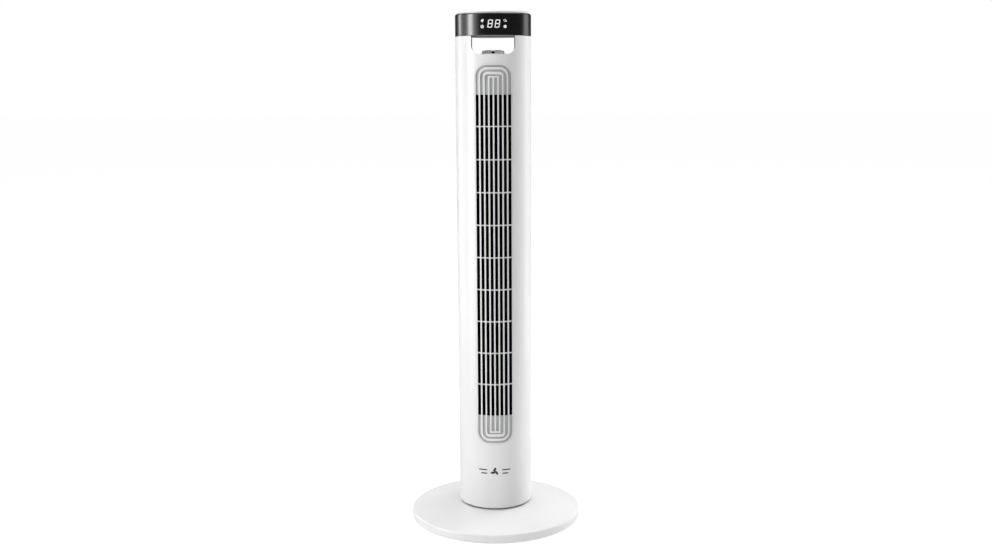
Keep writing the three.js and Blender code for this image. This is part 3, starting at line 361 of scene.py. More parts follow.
low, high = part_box("rubber_foot_1")
sole = (high.x - low.x) / 2
pad = turned([
    (3 * MM, 0), (sole - 4 * MM, 0), (sole - 3.6 * MM, 0.5 * MM), (sole - 2.4 * MM, 0.5 * MM),
    (sole - 2 * MM, 0), *bend(sole - 0.8 * MM, 0.8 * MM, 0.8 * MM, -90, 0, 3), (sole, 2 * MM),
    (3.3 * MM, 2 * MM),
    (3.3 * MM, high.z), (2 * MM, high.z), (2 * MM, 1 * MM), (3 * MM, 1 * MM),
], around=40)
for number in (1, 2, 3, 4):
    low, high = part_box(f"rubber_foot_{number}")
    twin = copied(pad)
    twin.location = ((low.x + high.x) / 2, (low.y + high.y) / 2, 0)
    complete(twin, f"rubber_pad_{number}", rubber, "base", "rubber", f"rubber_foot_{number}")
bpy.data.objects.remove(pad)

# %% [markdown]
# ## Screws
# A pan head is a short dome on a shank, with a cross cut into it for the driver. It is modelled once, head
# up, and each copy is turned to face the way its own screw does.

# %% Turn the screws
screw_head = 1.8 * MM
screw = turned([
    (0.9 * MM, -9 * MM), (1.5 * MM, -8 * MM), (1.5 * MM, 0), (2.9 * MM, 0),
    *bend(1.5 * MM, 0.2 * MM, 1.4 * MM, 0, 80),
], 28, True)
for half_x, half_y in ((1.8 * MM, 0.35 * MM), (0.35 * MM, 1.8 * MM)):
    cross = plate(-half_x, half_x, 0.7 * MM, 3 * MM, -half_y, half_y)
    shape(screw, cross)
screw_ways = {
    "underplate_screw": ((math.pi, 0, 0), "base", 3),
    "retainer_screw": ((math.pi, 0, 0), "tower", 3),
    "shell_screw": ((-math.pi / 2, 0, 0), "tower", 4),
}
for kind, (way, body, count) in screw_ways.items():
    for number in range(1, count + 1):
        low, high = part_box(f"{kind}_{number}")
        twin = copied(screw)
        twin.rotation_euler = way
        middle = (low + high) / 2
        if kind == "shell_screw":
            twin.location = (middle.x, high.y - screw_head, middle.z)
        else:
            twin.location = (middle.x, middle.y, low.z + screw_head)
        complete(twin, f"{kind}_cross_{number}", steel, body, "steel", f"{kind}_{number}")
bpy.data.objects.remove(screw)

# %% [markdown]
# ## The casing
# The tower is one straight tube, parted just behind its widest place into a front and a rear shell. It is
# turned whole, with a soft lower edge, then parted by keeping what lies on each side of the seam. The
# carrying hole goes through both shells, with round lower corners.

# %% Turn the tube and part it
shell_low, shell_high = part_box("front_shell")
seam_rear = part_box("rear_shell")[0].y
seam_front = seam_rear - gap
shell_wall = 3 * MM
far = 0.2
tube = turned([
    (tower_radius - shell_wall, shell_low.z),
    *bend(tower_radius - shell_wall, shell_low.z + shell_wall, shell_wall, -80, 0, 6),
    (tower_radius, shell_high.z - 0.3 * MM),
    (tower_radius - 0.3 * MM, shell_high.z),
    (tower_radius - shell_wall, shell_high.z),
], around=192)
hole_low, hole_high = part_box("handle_tunnel")
hole_half = hole_high.x - wall
hole_floor = hole_low.z + wall
hole_corner = 15 * MM


def hand_hole(grow, top):
    """A cutter the size of the carrying hole, grown by a wall and ending at a given height."""
    return plate(-hole_half - grow, hole_half + grow, hole_floor - grow, top, -far, far,
                 hole_corner + grow, "low", 12)


shape(tube, hand_hole(0, 1.0))
front = copied(tube)
shape(front, plate(-far, far, 0, 1, -far, seam_front), "INTERSECT")
rear = tube
shape(rear, plate(-far, far, 0, 1, seam_rear, far), "INTERSECT")
print("front and rear shells parted at y =", round(seam_front * 1000, 1), "mm")

# %% [markdown]
# The front shell has a tombstone opening for the outlet grille. The posts that the shell screws bite into
# stand on its inside wall.

# %% Finish the front shell
flange = 4 * MM
edge = 2.4 * MM
grille_low, grille_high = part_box("outlet_grille")
groove_half = grille_high.x - flange - edge
groove_low = grille_low.z + flange + edge
groove_high = grille_high.z - flange - edge
groove_corner = 20.6 * MM
post_radius = 4 * MM


def tombstone(grow, front=-far, back=-0.03):
    """A slab with the outline of the outlet panel, grown or shrunk."""
    return plate(-groove_half - edge - grow, groove_half + edge + grow, groove_low - edge - grow,
                 groove_high + edge + grow, front, back, groove_corner + edge + grow, steps=12)


shape(front, tombstone(0))
posts = []
for number in (1, 2, 3, 4):
    low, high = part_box(f"shell_screw_{number}")
    x, z = (low.x + high.x) / 2, (low.z + high.z) / 2
    start = -math.sqrt((tower_radius - shell_wall) ** 2 - x ** 2) - 1 * MM
    length = shell_high.y - start
    post = turned([
        (post_radius, 0), (post_radius, length), (clear_radius, length), (clear_radius, 0.085),
    ], 24)
    post.rotation_euler = (-math.pi / 2, 0, 0)
    post.location = (x, start, z)
    only(post)
    bpy.ops.object.transform_apply(location=True, rotation=True, scale=True)
    posts.append(post)
front = joined(front, *posts)
complete(front, "front_shell_skin", white, "tower", "white_plastic", "front_shell")

# %% [markdown]
# The rear shell has a wide opening for the intake grille and a hole for the cord's gland. A round boss
# behind the wall takes each of the four screws, and the head is sunk below the skin.

# %% Finish the rear shell
intake_low, intake_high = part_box("intake_grille")
intake_lip = 2 * MM
intake_half = tower_radius * math.sin(math.radians(58))
boss_radius = 5.2 * MM
sunk_radius = 3.6 * MM
gland_hole = 7 * MM


def intake_slab(grow):
    """A slab with the outline of the intake panel, grown or shrunk."""
    return plate(-intake_half - grow, intake_half + grow, intake_low.z + intake_lip - grow,
                 intake_high.z - intake_lip + grow, 0.018, far, 8 * MM + grow, steps=8)


def rod(radius, x, z, start, end, around=32):
    """A round rod along Y."""
    made = turned([(radius, 0), (radius, end - start)], around, True)
    made.rotation_euler = (-math.pi / 2, 0, 0)
    made.location = (x, start, z)
    only(made)
    bpy.ops.object.transform_apply(location=True, rotation=True, scale=True)
    return made


shape(rear, intake_slab(0))
gland_low, gland_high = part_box("cord_gland")
gland_z = (gland_low.z + gland_high.z) / 2
shape(rear, rod(gland_hole, 0, gland_z, 0, far))
under_skin = turned([(tower_radius - 1 * MM, 0), (tower_radius - 1 * MM, 1)], 96, True)
for number in (1, 2, 3, 4):
    low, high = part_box(f"shell_screw_{number}")
    x, z = (low.x + high.x) / 2, (low.z + high.z) / 2
    boss = shape(rod(boss_radius, x, z, shell_high.y + gap, far), under_skin, "INTERSECT", keep=True)
    shape(rear, boss, "UNION")
    shape(rear, rod(clear_radius, x, z, 0, far))
    shape(rear, rod(sunk_radius, x, z, high.y - screw_head - gap, far))
bpy.data.objects.remove(under_skin)
complete(rear, "rear_shell_skin", white, "tower", "white_plastic", "rear_shell")

# %% [markdown]
# ## The outlet grille
# The panel is a piece of the tube that drops into the tombstone opening. Eight upright slots let the air
# out, and nine thin bars cross them. Beyond the last bar the slots go on as blind grooves. The outer three
# are nested like the frames of a window, as each joins its slot to the mirror slot over the end, and the
# middle two stay straight. A groove is cut by a ring-shaped slab kept clear of the panel's back.


# %% A helper for panels
def tube_panel(span, lip_span, outline_slab, lap, around):
    """A piece of the tube inside an outline, with a lip that laps behind the shell."""
    low, high = span
    made = turned([
        (panel_back, low), (tower_radius, low), (tower_radius, high), (panel_back, high),
    ], around=around)
    low, high = lip_span
    lip = turned([
        (panel_back, low), (inner_face, low), (inner_face, high), (panel_back, high),
    ], around=around)
    shape(made, outline_slab(-gap), "INTERSECT")
    shape(lip, outline_slab(lap), "INTERSECT")
    return shape(made, lip, "UNION")


# %% Cut the outlet panel
columns = 8
pitch = 8.35 * MM
slot = 5.6 * MM
bar_height = 2.2 * MM
bar_spacing = 59.8 * MM
slot_round = 0.8 * MM
groove_depth = 3 * MM
slots_low = groove_low + 52.3 * MM
slots_high = groove_high - 53.1 * MM
panel_back = tower_radius - shell_wall - 2.3 * MM
inner_face = tower_radius - shell_wall - gap
panel = tube_panel(
    (grille_low.z, grille_high.z), (grille_low.z - 1 * MM, grille_high.z + 1 * MM), tombstone, flange, 240)
print("outlet panel:", len(panel.data.polygons), "faces")


# %% Cut the blind grooves
groove_across = (4.5 * MM, 4.0 * MM, 2.8 * MM)
nest_step = 8.6 * MM
blind_inset = 22.8 * MM


def nested_groove(k):
    """The ring-shaped cutter that joins slot k to its mirror slot over both ends."""
    across = groove_across[k]
    half = groove_half + 0.15 * MM - k * pitch
    shrink = k * nest_step
    radius = max(groove_corner - k * pitch, 1.5 * MM)
    outside = plate(-half, half, groove_low + shrink, groove_high - shrink, -far, -0.04, radius, steps=10)
    inner_half = half - slot
    inside = plate(-inner_half, inner_half, groove_low + shrink + across, groove_high - shrink - across,
                   -far - 0.01, -0.03, max(radius - slot, slot_round), steps=8)
    return shape(outside, inside)


groove_radius = tower_radius - groove_depth
groove_floor = turned([
    (groove_radius, 0.1), (tower_radius + 0.02, 0.1), (tower_radius + 0.02, 0.95), (groove_radius, 0.95),
], around=240)
for k in range(len(groove_across)):
    shape(panel, shape(nested_groove(k), groove_floor, "INTERSECT", keep=True))
for x in (-pitch / 2, pitch / 2):
    straight = plate(x - slot / 2, x + slot / 2, groove_low + blind_inset, groove_high - blind_inset,
                     -far, -0.04, slot_round, steps=4)
    shape(panel, shape(straight, groove_floor, "INTERSECT", keep=True))
bpy.data.objects.remove(groove_floor)
print("grooves cut:", len(panel.data.polygons), "faces")

# %% Open the slots between the bars
bars = []
height = slots_low + bar_spacing
while height < slots_high - bar_spacing / 2:
    bars.append(height)
    height += bar_spacing
ends = [slots_low - bar_height / 2, *bars, slots_high + bar_height / 2]
windows = []
for i in range(columns):
    x = (i - (columns - 1) / 2) * pitch
    for below, above in zip(ends, ends[1:]):
        sill, head = below + bar_height / 2, above - bar_height / 2
        windows.append(plate(x - slot / 2, x + slot / 2, sill, head, -far, -0.03))
shape(panel, joined(*windows))
complete(panel, "outlet_louvre", white, "tower", "white_plastic", "outlet_grille")

# %% [markdown]
# The floors of the blind grooves are painted greyer than the ribs: painted shade for the shadow that falls
# in them. A thin grey ring carries it, cut to the panel's outline, with the stretch of the open slots taken
# out.

# %% Paint shade into the grooves
# a thin grey sheet on the groove floors that carries the painted shade
painted_shade_sheet_radius = groove_radius + 0.1 * MM
painted_shade_sheet = turned([
    (painted_shade_sheet_radius - 0.5 * MM, groove_low), (painted_shade_sheet_radius, groove_low), (painted_shade_sheet_radius, groove_high),
    (painted_shade_sheet_radius - 0.5 * MM, groove_high),
], around=240)
shape(painted_shade_sheet, tombstone(-edge - 0.5 * MM), "INTERSECT")
shape(painted_shade_sheet, plate(-0.1, 0.1, slots_low, slots_high, -far, far))
complete(painted_shade_sheet, "groove_painted_shade_sheet", groove_painted_shade, "tower", "white_plastic")

# %% [markdown]
# ## The intake grille and its filter
# The back of the fan breathes through three rows of narrow upright slots, spaced round the tube like the
# outlet's. A dark filter cloth lies behind them, which is why the slots look black.

# %% Cut the intake panel
grid = tube_panel(
    (intake_low.z - 5 * MM, intake_high.z + 5 * MM), (intake_low.z - 4 * MM, intake_high.z + 4 * MM),
    intake_slab, intake_lip, 208)
rows = 3
intake_columns = 16
intake_slot = 5.5 * MM
intake_bar = 4 * MM
inner_low = intake_low.z + intake_lip
row_height = (intake_high.z - intake_low.z - 2 * intake_lip - 2 * intake_bar) / rows
breaths = []
slot_half = (row_height - intake_bar) / 2
for column in range(intake_columns):
    turn = (column - (intake_columns - 1) / 2) * math.tau / 52
    for row in range(rows):
        middle = inner_low + intake_bar + row_height * (row + 0.5)
        cutter = plate(-intake_slot / 2, intake_slot / 2, middle - slot_half, middle + slot_half,
                       tower_radius - 0.012, tower_radius + 0.012, 2.6 * MM, steps=5)
        cutter.rotation_euler = (0, 0, turn)
        only(cutter)
        bpy.ops.object.transform_apply(location=True, rotation=True, scale=True)
        breaths.append(cutter)
shape(grid, joined(*breaths))
complete(grid, "intake_louvre", white, "tower", "white_plastic", "intake_grille")

# %% Hang the filter behind it
filter_radius = panel_back - 0.25 * MM
cloth = turned([
    (filter_radius - 0.4 * MM, intake_low.z), (filter_radius, intake_low.z),
    (filter_radius, intake_high.z), (filter_radius - 0.4 * MM, intake_high.z),
], around=160)
shape(cloth, plate(-0.0585, 0.0585, 0, 1, 0.02, far), "INTERSECT")
complete(cloth, "intake_filter", inner_black, "tower", "black_plastic")

# %% [markdown]
# ## The carrying hole
# A moulded tunnel lines the hole from front to back. Two low rails on its floor keep the remote control
# in its place. The tunnel is the outline of the hole with a wall round it, kept inside the tube.

# %% Line the hole
tunnel = hand_hole(wall, hole_high.z)
shape(tunnel, hand_hole(0, 1.0))
inside_tube = turned([(inner_face, 0.8), (inner_face, 0.95)], 160, True)
shape(tunnel, inside_tube, "INTERSECT")
case_low, case_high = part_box("remote_case")
for side in (-1, 1):
    middle = side * (case_high.x + 1.3 * MM)
    rail = plate(middle - 1 * MM, middle + 1 * MM, hole_floor - 0.5 * MM, hole_floor + 1.6 * MM,
                 case_low.y, case_high.y, 0.5 * MM, steps=3)
    shape(tunnel, rail, "UNION")
complete(tunnel, "hand_hole_lining", white, "tower", "white_plastic", "handle_tunnel")

# %% [markdown]
# ## The head
# Above the hole sits a flat ceiling with a shallow skirt, then the smoked band, then the cover with its
# keys. The band is turned with a soft upper edge that meets the cover. Ceiling and cover are turned round a
# pin hole, and a small plug closes it.

# %% Turn the ceiling, the band and the cover
roof_low, roof_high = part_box("head_chassis")
ceiling = turned([
    (1 * MM, roof_low.z), (roof_high.x - 0.5 * MM, roof_low.z), (roof_high.x, roof_low.z + 0.5 * MM),
    (roof_high.x, roof_low.z + 10 * MM), (roof_high.x - wall, roof_low.z + 10 * MM),
    (roof_high.x - wall, roof_low.z + wall), (1 * MM, roof_low.z + wall),
], around=160)
complete(ceiling, "head_ceiling", ceiling_grey, "tower", "grey_plastic", "head_chassis")

band_low, band_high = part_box("display_band")
band_back = tower_radius - wall
band = turned([
    (band_back, band_low.z), (tower_radius - 0.4 * MM, band_low.z), (tower_radius, band_low.z + 0.4 * MM),
    *bend(tower_radius - 3 * MM, band_high.z - 3 * MM, 3 * MM, 0, 76, 8), (band_back, band_high.z),
], around=240)
complete(band, "smoked_display_band", smoked, "tower", "black_gloss", "display_band")

cover_low, cover_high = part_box("top_cover")
cover_radius = cover_high.x
cover_under = cover_high.z - wall
cover = turned([
    (cover_radius - wall, cover_low.z), (cover_radius, cover_low.z), (cover_radius, cover_high.z - 5 * MM),
    *bend(cover_radius - 5 * MM, cover_high.z - 5 * MM, 5 * MM, 0, 90, 10),
    (52 * MM, cover_high.z), (51 * MM, cover_high.z - 0.5 * MM), (1 * MM, cover_high.z - 0.5 * MM),
    (1 * MM, cover_under), (cover_radius - 5 * MM, cover_under),
    (cover_radius - wall, cover_under - 1.5 * MM),
], around=192)
plug_radius = 1.2 * MM
shape(cover, turned([(plug_radius, cover_under), (plug_radius, cover_high.z - 0.5 * MM)], 32, True), "UNION")
key_hole = 6.5 * MM
key_names = ["timer_key", "mode_key", "power_key", "speed_key", "swing_key"]
for key_name in key_names:
    low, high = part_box(key_name)
    middle = (low + high) / 2
    through = [(key_hole, cover_under - 2 * MM), (key_hole, cover_high.z + 2 * MM)]
    shape(cover, turned(through, 48, True, (middle.x, middle.y)))
complete(cover, "key_cover", cap_grey, "tower", "grey_plastic", "top_cover")
plug = turned([(plug_radius, roof_low.z), (plug_radius, roof_low.z + wall)], 32, True)
complete(plug, "ceiling_plug", ceiling_grey, "tower", "grey_plastic")

# %% [markdown]
# ## The keys
# Each key is a shallow round button with a dished top and a flange under the cover. The symbols are thin
# shapes let into the dish, all drawn from rings, bars and petals: a clock, waves, a standby mark, a
# propeller and a double arrow.


# %% Helpers for flat symbols
def outline(vertices, radius, stretch=(1, 1), hole=0.0):
    """A flat polygon, stretched, with a hole if asked."""
    bpy.ops.object.select_all(action="DESELECT")
    bpy.ops.mesh.primitive_circle_add(vertices=vertices, radius=radius, fill_type="NGON", location=(0, 0, 0))
    made = bpy.context.active_object
    bpy.ops.object.mode_set(mode="EDIT")
    bpy.ops.mesh.select_all(action="SELECT")
    bpy.ops.transform.resize(value=(*stretch, 1), center_override=(0, 0, 0))
    if hole:
        bpy.ops.mesh.inset(thickness=hole, depth=0)
        bpy.ops.mesh.delete(type="FACE")
    bpy.ops.object.mode_set(mode="OBJECT")
    return made


def flat(vertices, radius, x, y, z, thickness, stretch=(1, 1), turn=0.0, hole=0.0):
    """A thin flat shape on a level surface, from a polygon stretched and turned about its middle."""
    made = outline(vertices, radius, stretch, hole)
    bpy.ops.object.mode_set(mode="EDIT")
    bpy.ops.mesh.select_all(action="SELECT")
    bpy.ops.mesh.extrude_region_move(TRANSFORM_OT_translate={"value": (0, 0, thickness)})
    bpy.ops.mesh.select_all(action="SELECT")
    bpy.ops.mesh.normals_make_consistent(inside=False)
    bpy.ops.object.mode_set(mode="OBJECT")
    made.rotation_euler = (0, 0, turn)
    made.location = (x, y, z)
    only(made)
    bpy.ops.object.transform_apply(location=True, rotation=True, scale=True)
    return made


def bar(length, width, x, y, z, thickness, turn=0.0):
    """A thin bar with pointed ends."""
    return flat(4, length / 2, x, y, z, thickness, (1, width / length), turn)


three_ways = (math.pi / 2, math.pi * 7 / 6, math.pi * 11 / 6)  # directions of a propeller's blades


def key_symbol(name, x, y, z, t):
    """The thin shapes that make up the symbol of one key."""
    if name == "power_key":
        return [flat(32, 2.3 * MM, x, y, z, t, hole=0.45 * MM),
                bar(3.4 * MM, 0.8 * MM, x, y + 2 * MM, z, t, math.pi / 2)]
    if name == "timer_key":
        return [flat(32, 2.4 * MM, x, y, z, t, hole=0.4 * MM),
                bar(2.4 * MM, 0.6 * MM, x, y + 0.8 * MM, z, t, math.pi / 2),
                bar(2 * MM, 0.6 * MM, x + 0.7 * MM, y, z, t)]
    if name == "speed_key":
        out = 1.4 * MM
        return [flat(20, 1.3 * MM, x + out * math.cos(a), y + out * math.sin(a), z, t, (1, 0.5), a + 0.6)
                for a in three_ways]
    if name == "mode_key":
        return [bar(5 * MM, 0.7 * MM, x, y + step * 1.4 * MM, z, t) for step in (-1, 0, 1)]
    return [bar(4.4 * MM, 0.7 * MM, x, y, z, t), flat(3, 1.3 * MM, x - 2 * MM, y, z, t, turn=math.pi / 2),
            flat(3, 1.3 * MM, x + 2 * MM, y, z, t, turn=-math.pi / 2)]


# %% Turn the keys
key_low, key_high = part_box("power_key")
key_radius = 6.2 * MM
key_flange = key_radius + 1.6 * MM
key_top = key_high.z
dish = 0.35 * MM
key = turned([
    (2 * MM, key_low.z), (2 * MM, key_low.z + 2 * MM), (key_flange, key_low.z + 2 * MM),
    (key_flange, key_low.z + 4 * MM), (key_radius, key_low.z + 4 * MM),
    *bend(key_radius - 0.7 * MM, key_top - 0.7 * MM, 0.7 * MM, 0, 90, 5),
    (key_radius - 1.4 * MM, key_top - 0.1 * MM), (key_radius - 2.2 * MM, key_top - dish),
    (1 * MM, key_top - dish),
], around=48, solid=True)
for key_name in key_names:
    low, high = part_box(key_name)
    middle = (low + high) / 2
    twin = copied(key)
    twin.location = (middle.x, middle.y, 0)
    complete(twin, f"{key_name}_cap", key_white, key_name, "white_plastic", key_name)
    symbol = joined(*key_symbol(key_name, middle.x, middle.y, key_top - dish - 0.02 * MM, 0.1 * MM))
    complete(symbol, f"{key_name}_symbol", print_grey, key_name, "black_plastic")
bpy.data.objects.remove(key)

# %% [markdown]
# ## The lit display
# Two digits and four small symbols shine through the band. A digit has seven slim six-sided segments. They
# are drawn flat in front of the band, cut into short lengths, and a shrinkwrap modifier lays them on its
# curve.


# %% Helpers for lit shapes
def upright(piece, x, z, turn=0.0):
    """Stands a flat shape up to face the front, turned about its middle."""
    stood = Matrix.Rotation(turn, 4, "Y") @ Matrix.Rotation(math.pi / 2, 4, "X")
    piece.matrix_world = Matrix.Translation((x, -0.08, z)) @ stood
    only(piece)
    bpy.ops.object.transform_apply(location=True, rotation=True, scale=True)
    return piece


def segment(length, width):
    """A six-sided segment: a thin strip with blunt pointed ends."""
    bpy.ops.object.select_all(action="DESELECT")
    bpy.ops.mesh.primitive_plane_add(size=1, location=(0, 0, 0))
    made = bpy.context.active_object
    bpy.ops.object.mode_set(mode="EDIT")
    bpy.ops.mesh.select_all(action="SELECT")
    bpy.ops.transform.resize(value=(length - width, width, 1), center_override=(0, 0, 0))
    bpy.ops.object.mode_set(mode="OBJECT")
    for side in (-1, 1):
        only(made)
        for line in made.data.edges:
            a, b = (made.data.vertices[i].co.x * side for i in line.vertices)
            line.select = min(a, b) > (length - width) / 2 - 1e-5
        for point in made.data.vertices:
            point.select = point.co.x * side > (length - width) / 2 - 1e-5
        for face in made.data.polygons:
            face.select = False
        bpy.ops.object.mode_set(mode="EDIT")
        bpy.ops.mesh.extrude_region_move(TRANSFORM_OT_translate={"value": (side * width / 2, 0, 0)})
        bpy.ops.transform.resize(value=(1, 0.12, 1), center_override=(0, 0, 0))
        bpy.ops.object.mode_set(mode="OBJECT")
    return made


def laid_on(pieces, target, name, looks, slot_name, lift=0.05 * MM):
    """Joins flat shapes, lays them on a curved surface and gives them a little thickness."""
    print_piece = joined(*pieces)
    only(print_piece)
    bpy.ops.object.mode_set(mode="EDIT")
    for middle in [i * 1.5 * MM for i in range(-26, 27)]:
        bpy.ops.mesh.select_all(action="SELECT")
        bpy.ops.mesh.bisect(plane_co=(middle, 0, 0), plane_no=(1, 0, 0))
    bpy.ops.object.mode_set(mode="OBJECT")
    wrap = print_piece.modifiers.new("wrap", "SHRINKWRAP")
    wrap.target = target
    wrap.wrap_method = "PROJECT"
    wrap.use_project_y = True
    wrap.use_positive_direction = True
    wrap.use_negative_direction = False
    wrap.offset = lift
    bpy.ops.object.modifier_apply(modifier=wrap.name)
    thick = print_piece.modifiers.new("thick", "SOLIDIFY")
    thick.thickness = 0.08 * MM
    thick.offset = -1
    bpy.ops.object.modifier_apply(modifier=thick.name)
    bpy.ops.object.mode_set(mode="EDIT")
    bpy.ops.mesh.select_all(action="SELECT")
    bpy.ops.mesh.normals_make_consistent(inside=False)
    bpy.ops.object.mode_set(mode="OBJECT")
    return complete(print_piece, name, looks, "tower", slot_name)


# %% Draw the digits
digit_height = 12.4 * MM
digit_width = 7.0 * MM
stroke = 1.55 * MM
overlap = 0.7 * MM  # by which the ends of two segments meet
lean = math.radians(9.5)
digit_middle = (band_low.z + band_high.z) / 2 + 0.1 * MM


def digit(x, z):
    """All seven segments of one leaning digit."""
    made = []
    for step in (-1, 0, 1):
        level = step * digit_height / 2
        made.append(upright(segment(digit_width + overlap, stroke), x + math.tan(lean) * level, z + level))
    for side in (-1, 1):
        for half in (-1, 1):
            level = half * digit_height / 4
            place = x + side * digit_width / 2 + math.tan(lean) * level
            strip = segment(digit_height / 2 + overlap, stroke)
            made.append(upright(strip, place, z + level, lean - math.pi / 2))
    return made


digits = digit(-5.0 * MM, digit_middle) + digit(7.9 * MM, digit_middle)
laid_on(digits, band, "lit_digits", lit, "white_plastic")

# %% Draw the small symbols
left, right = -19.1 * MM, 21.6 * MM
upper, lower = digit_middle + 5.2 * MM, digit_middle - 5.0 * MM
leaf = [upright(outline(24, 2.9 * MM, (1, 0.62)), left + 0.2 * MM, upper + 0.4 * MM, -0.9),
        upright(outline(4, 1.3 * MM, (1, 0.3)), left - 0.2 * MM, upper - 2.6 * MM, math.pi / 2)]
moon = [upright(outline(28, 2.9 * MM, hole=1.15 * MM), left, lower),
        upright(outline(20, 1.0 * MM), left - 0.3 * MM, lower - 0.2 * MM)]
drop = [upright(outline(4, 2.7 * MM, hole=0.75 * MM), right - 0.6 * MM, upper + 0.4 * MM, 0.3),
        upright(outline(20, 1.3 * MM), right + 1.9 * MM, upper - 0.6 * MM)]
home = [upright(outline(5, 3.1 * MM), right, lower, math.pi / 10)]
laid_on(leaf + moon + drop + home, band, "lit_symbols", lit, "white_plastic")

# %% [markdown]
# ## The printed mark
# Low on the front there is a small dark print. This one is a plain sign for moving air: a three-bladed
# propeller with breeze lines on both sides.

# %% Print the mark
mark_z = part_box("front_shell")[0].z + 73 * MM
mark_x = -1.5 * MM
out = 4.2 * MM
mark = [upright(outline(28, 4.3 * MM, (1, 0.5)),
                mark_x + out * math.cos(a), mark_z + out * math.sin(a), 0.5 - a) for a in three_ways]
mark.append(upright(outline(24, 1.6 * MM), mark_x, mark_z))
for side in (-1, 1):
    for step, length in ((-1, 12), (1, 16)):
        x = mark_x + side * (14 + length / 2) * MM
        mark.append(upright(segment(length * MM, 2.2 * MM), x, mark_z + step * 3.4 * MM))
laid_on(mark, front, "breeze_print", print_dark, "black_plastic", 0.03 * MM)

# %% [markdown]
# ## The remote control
# A card-thin remote lies in the hole between the rails. Its case is a rounded slab with a slot in each end:
# one for the dark window at the front, one for the drawer of the coin cell at the back.


# %% A helper for rounded slabs that lie flat
def slab(left, right, near, back, low, high, corner, soft, steps=6):
    """A slab lying flat, with round corners and a soft edge all over."""
    bpy.ops.object.select_all(action="DESELECT")
    middle = Vector(((left + right) / 2, (near + back) / 2, (low + high) / 2))
    bpy.ops.mesh.primitive_cube_add(size=1, location=middle)
    made = bpy.context.active_object
    bpy.ops.object.mode_set(mode="EDIT")
    bpy.ops.mesh.select_all(action="SELECT")
    bpy.ops.transform.resize(value=(right - left, back - near, high - low), center_override=middle)
    bpy.ops.object.mode_set(mode="OBJECT")
    bpy.ops.object.transform_apply(location=True, rotation=True, scale=True)
    bpy.ops.object.mode_set(mode="EDIT")
    bpy.context.tool_settings.mesh_select_mode = (False, True, False)
    bpy.ops.mesh.select_all(action="DESELECT")
    bpy.ops.object.mode_set(mode="OBJECT")
    points = made.data.vertices
    for line in made.data.edges:
        a, b = (points[i].co for i in line.vertices)
        line.select = abs(a.z - b.z) > (high - low) / 2
    bpy.ops.object.mode_set(mode="EDIT")
    bpy.ops.mesh.bevel(offset=corner, segments=steps, profile=0.5)
    bpy.ops.object.mode_set(mode="OBJECT")
    if soft:
        rounding = made.modifiers.new("soft", "BEVEL")
        rounding.width = soft
        rounding.segments = 3
        rounding.limit_method = "ANGLE"
        rounding.angle_limit = math.radians(40)
        bpy.ops.object.modifier_apply(modifier=rounding.name)
    return made


# %% Make the remote
lens_low, lens_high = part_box("remote_ir_window")
drawer_low, drawer_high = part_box("remote_battery_tray")
pad_low, pad_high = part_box("remote_keypad")
drawer_half = 12.5 * MM
card = slab(case_low.x, case_high.x, case_low.y, case_high.y, case_low.z, case_high.z, 2 * MM, 0.5 * MM)
shape(card, slab(lens_low.x - gap, lens_high.x + gap, -0.1, lens_high.y + gap,
                 lens_low.z - gap, lens_high.z + gap, 0.4 * MM, 0))
shape(card, slab(-drawer_half - gap, drawer_half + gap, drawer_low.y - gap, 0.1,
                 drawer_low.z + 0.2 * MM, drawer_high.z - 0.2 * MM, 0.4 * MM, 0))
complete(card, "remote_card", white, "remote", "white_plastic", "remote_case", crisp=14)
lens = slab(lens_low.x, lens_high.x, lens_low.y, lens_high.y, lens_low.z, lens_high.z, 0.8 * MM, 0.5 * MM)
complete(lens, "remote_window", red_lens, "remote", "dark_lens", "remote_ir_window", crisp=14)
sheet = slab(pad_low.x, pad_high.x, pad_low.y, pad_high.y, pad_low.z, pad_low.z + 0.5 * MM, 3 * MM, 0.15 * MM)
complete(sheet, "remote_membrane", ceiling_grey, "remote", "grey_plastic", "remote_keypad", crisp=14)
for row in range(3):
    for side in (-1, 1):
        x, y = side * 8.5 * MM, case_low.y + (16 + 17 * row) * MM
        button = turned([
            (5 * MM, pad_low.z + 0.4 * MM), *bend(4.6 * MM, pad_high.z - 0.4 * MM, 0.4 * MM, 0, 90, 4),
            (2 * MM, pad_high.z - 0.05 * MM),
        ], 32, True, (x, y))
        hand = "left" if side < 0 else "right"
        complete(button, f"remote_button_{row + 1}_{hand}", key_white, "remote", "white_plastic")
cell_low, cell_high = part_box("coin_cell")
cell_y = (cell_low.y + cell_high.y) / 2
cell_radius = 10 * MM
drawer = slab(-drawer_half, drawer_half, drawer_low.y, case_high.y + gap,
              drawer_low.z + 0.5 * MM, drawer_high.z - 0.5 * MM, 0.5 * MM, 0)
cell_seat = [(cell_radius + gap, cell_low.z - gap), (cell_radius + gap, 0.95)]
shape(drawer, turned(cell_seat, 48, True, (0, cell_y)))
pull = slab(drawer_low.x, drawer_high.x, case_high.y + gap, drawer_high.y,
            drawer_low.z, drawer_high.z, 0.6 * MM, 0.2 * MM)
shape(drawer, pull, "UNION")
complete(drawer, "remote_drawer", white, "remote_tray", "white_plastic", "remote_battery_tray", crisp=14)
cell = turned([
    (9 * MM, cell_low.z), *bend(9.7 * MM, cell_low.z + 0.3 * MM, 0.3 * MM, -90, 0, 3),
    (cell_radius, cell_high.z - 0.7 * MM), (9.2 * MM, cell_high.z - 0.6 * MM),
    *bend(8.6 * MM, cell_high.z - 0.3 * MM, 0.3 * MM, 0, 90, 3),
], 48, True, (0, cell_y))
complete(cell, "coin_cell_can", steel, "remote_tray", "steel", "coin_cell")

# %% [markdown]
# ## The impeller
# Air comes from a long drum of curved blades. One blade is an arc pulled up to the drum's height, and the
# spin operator, told to duplicate, sets the other blades round the shaft. Rings at even heights tie them
# together.

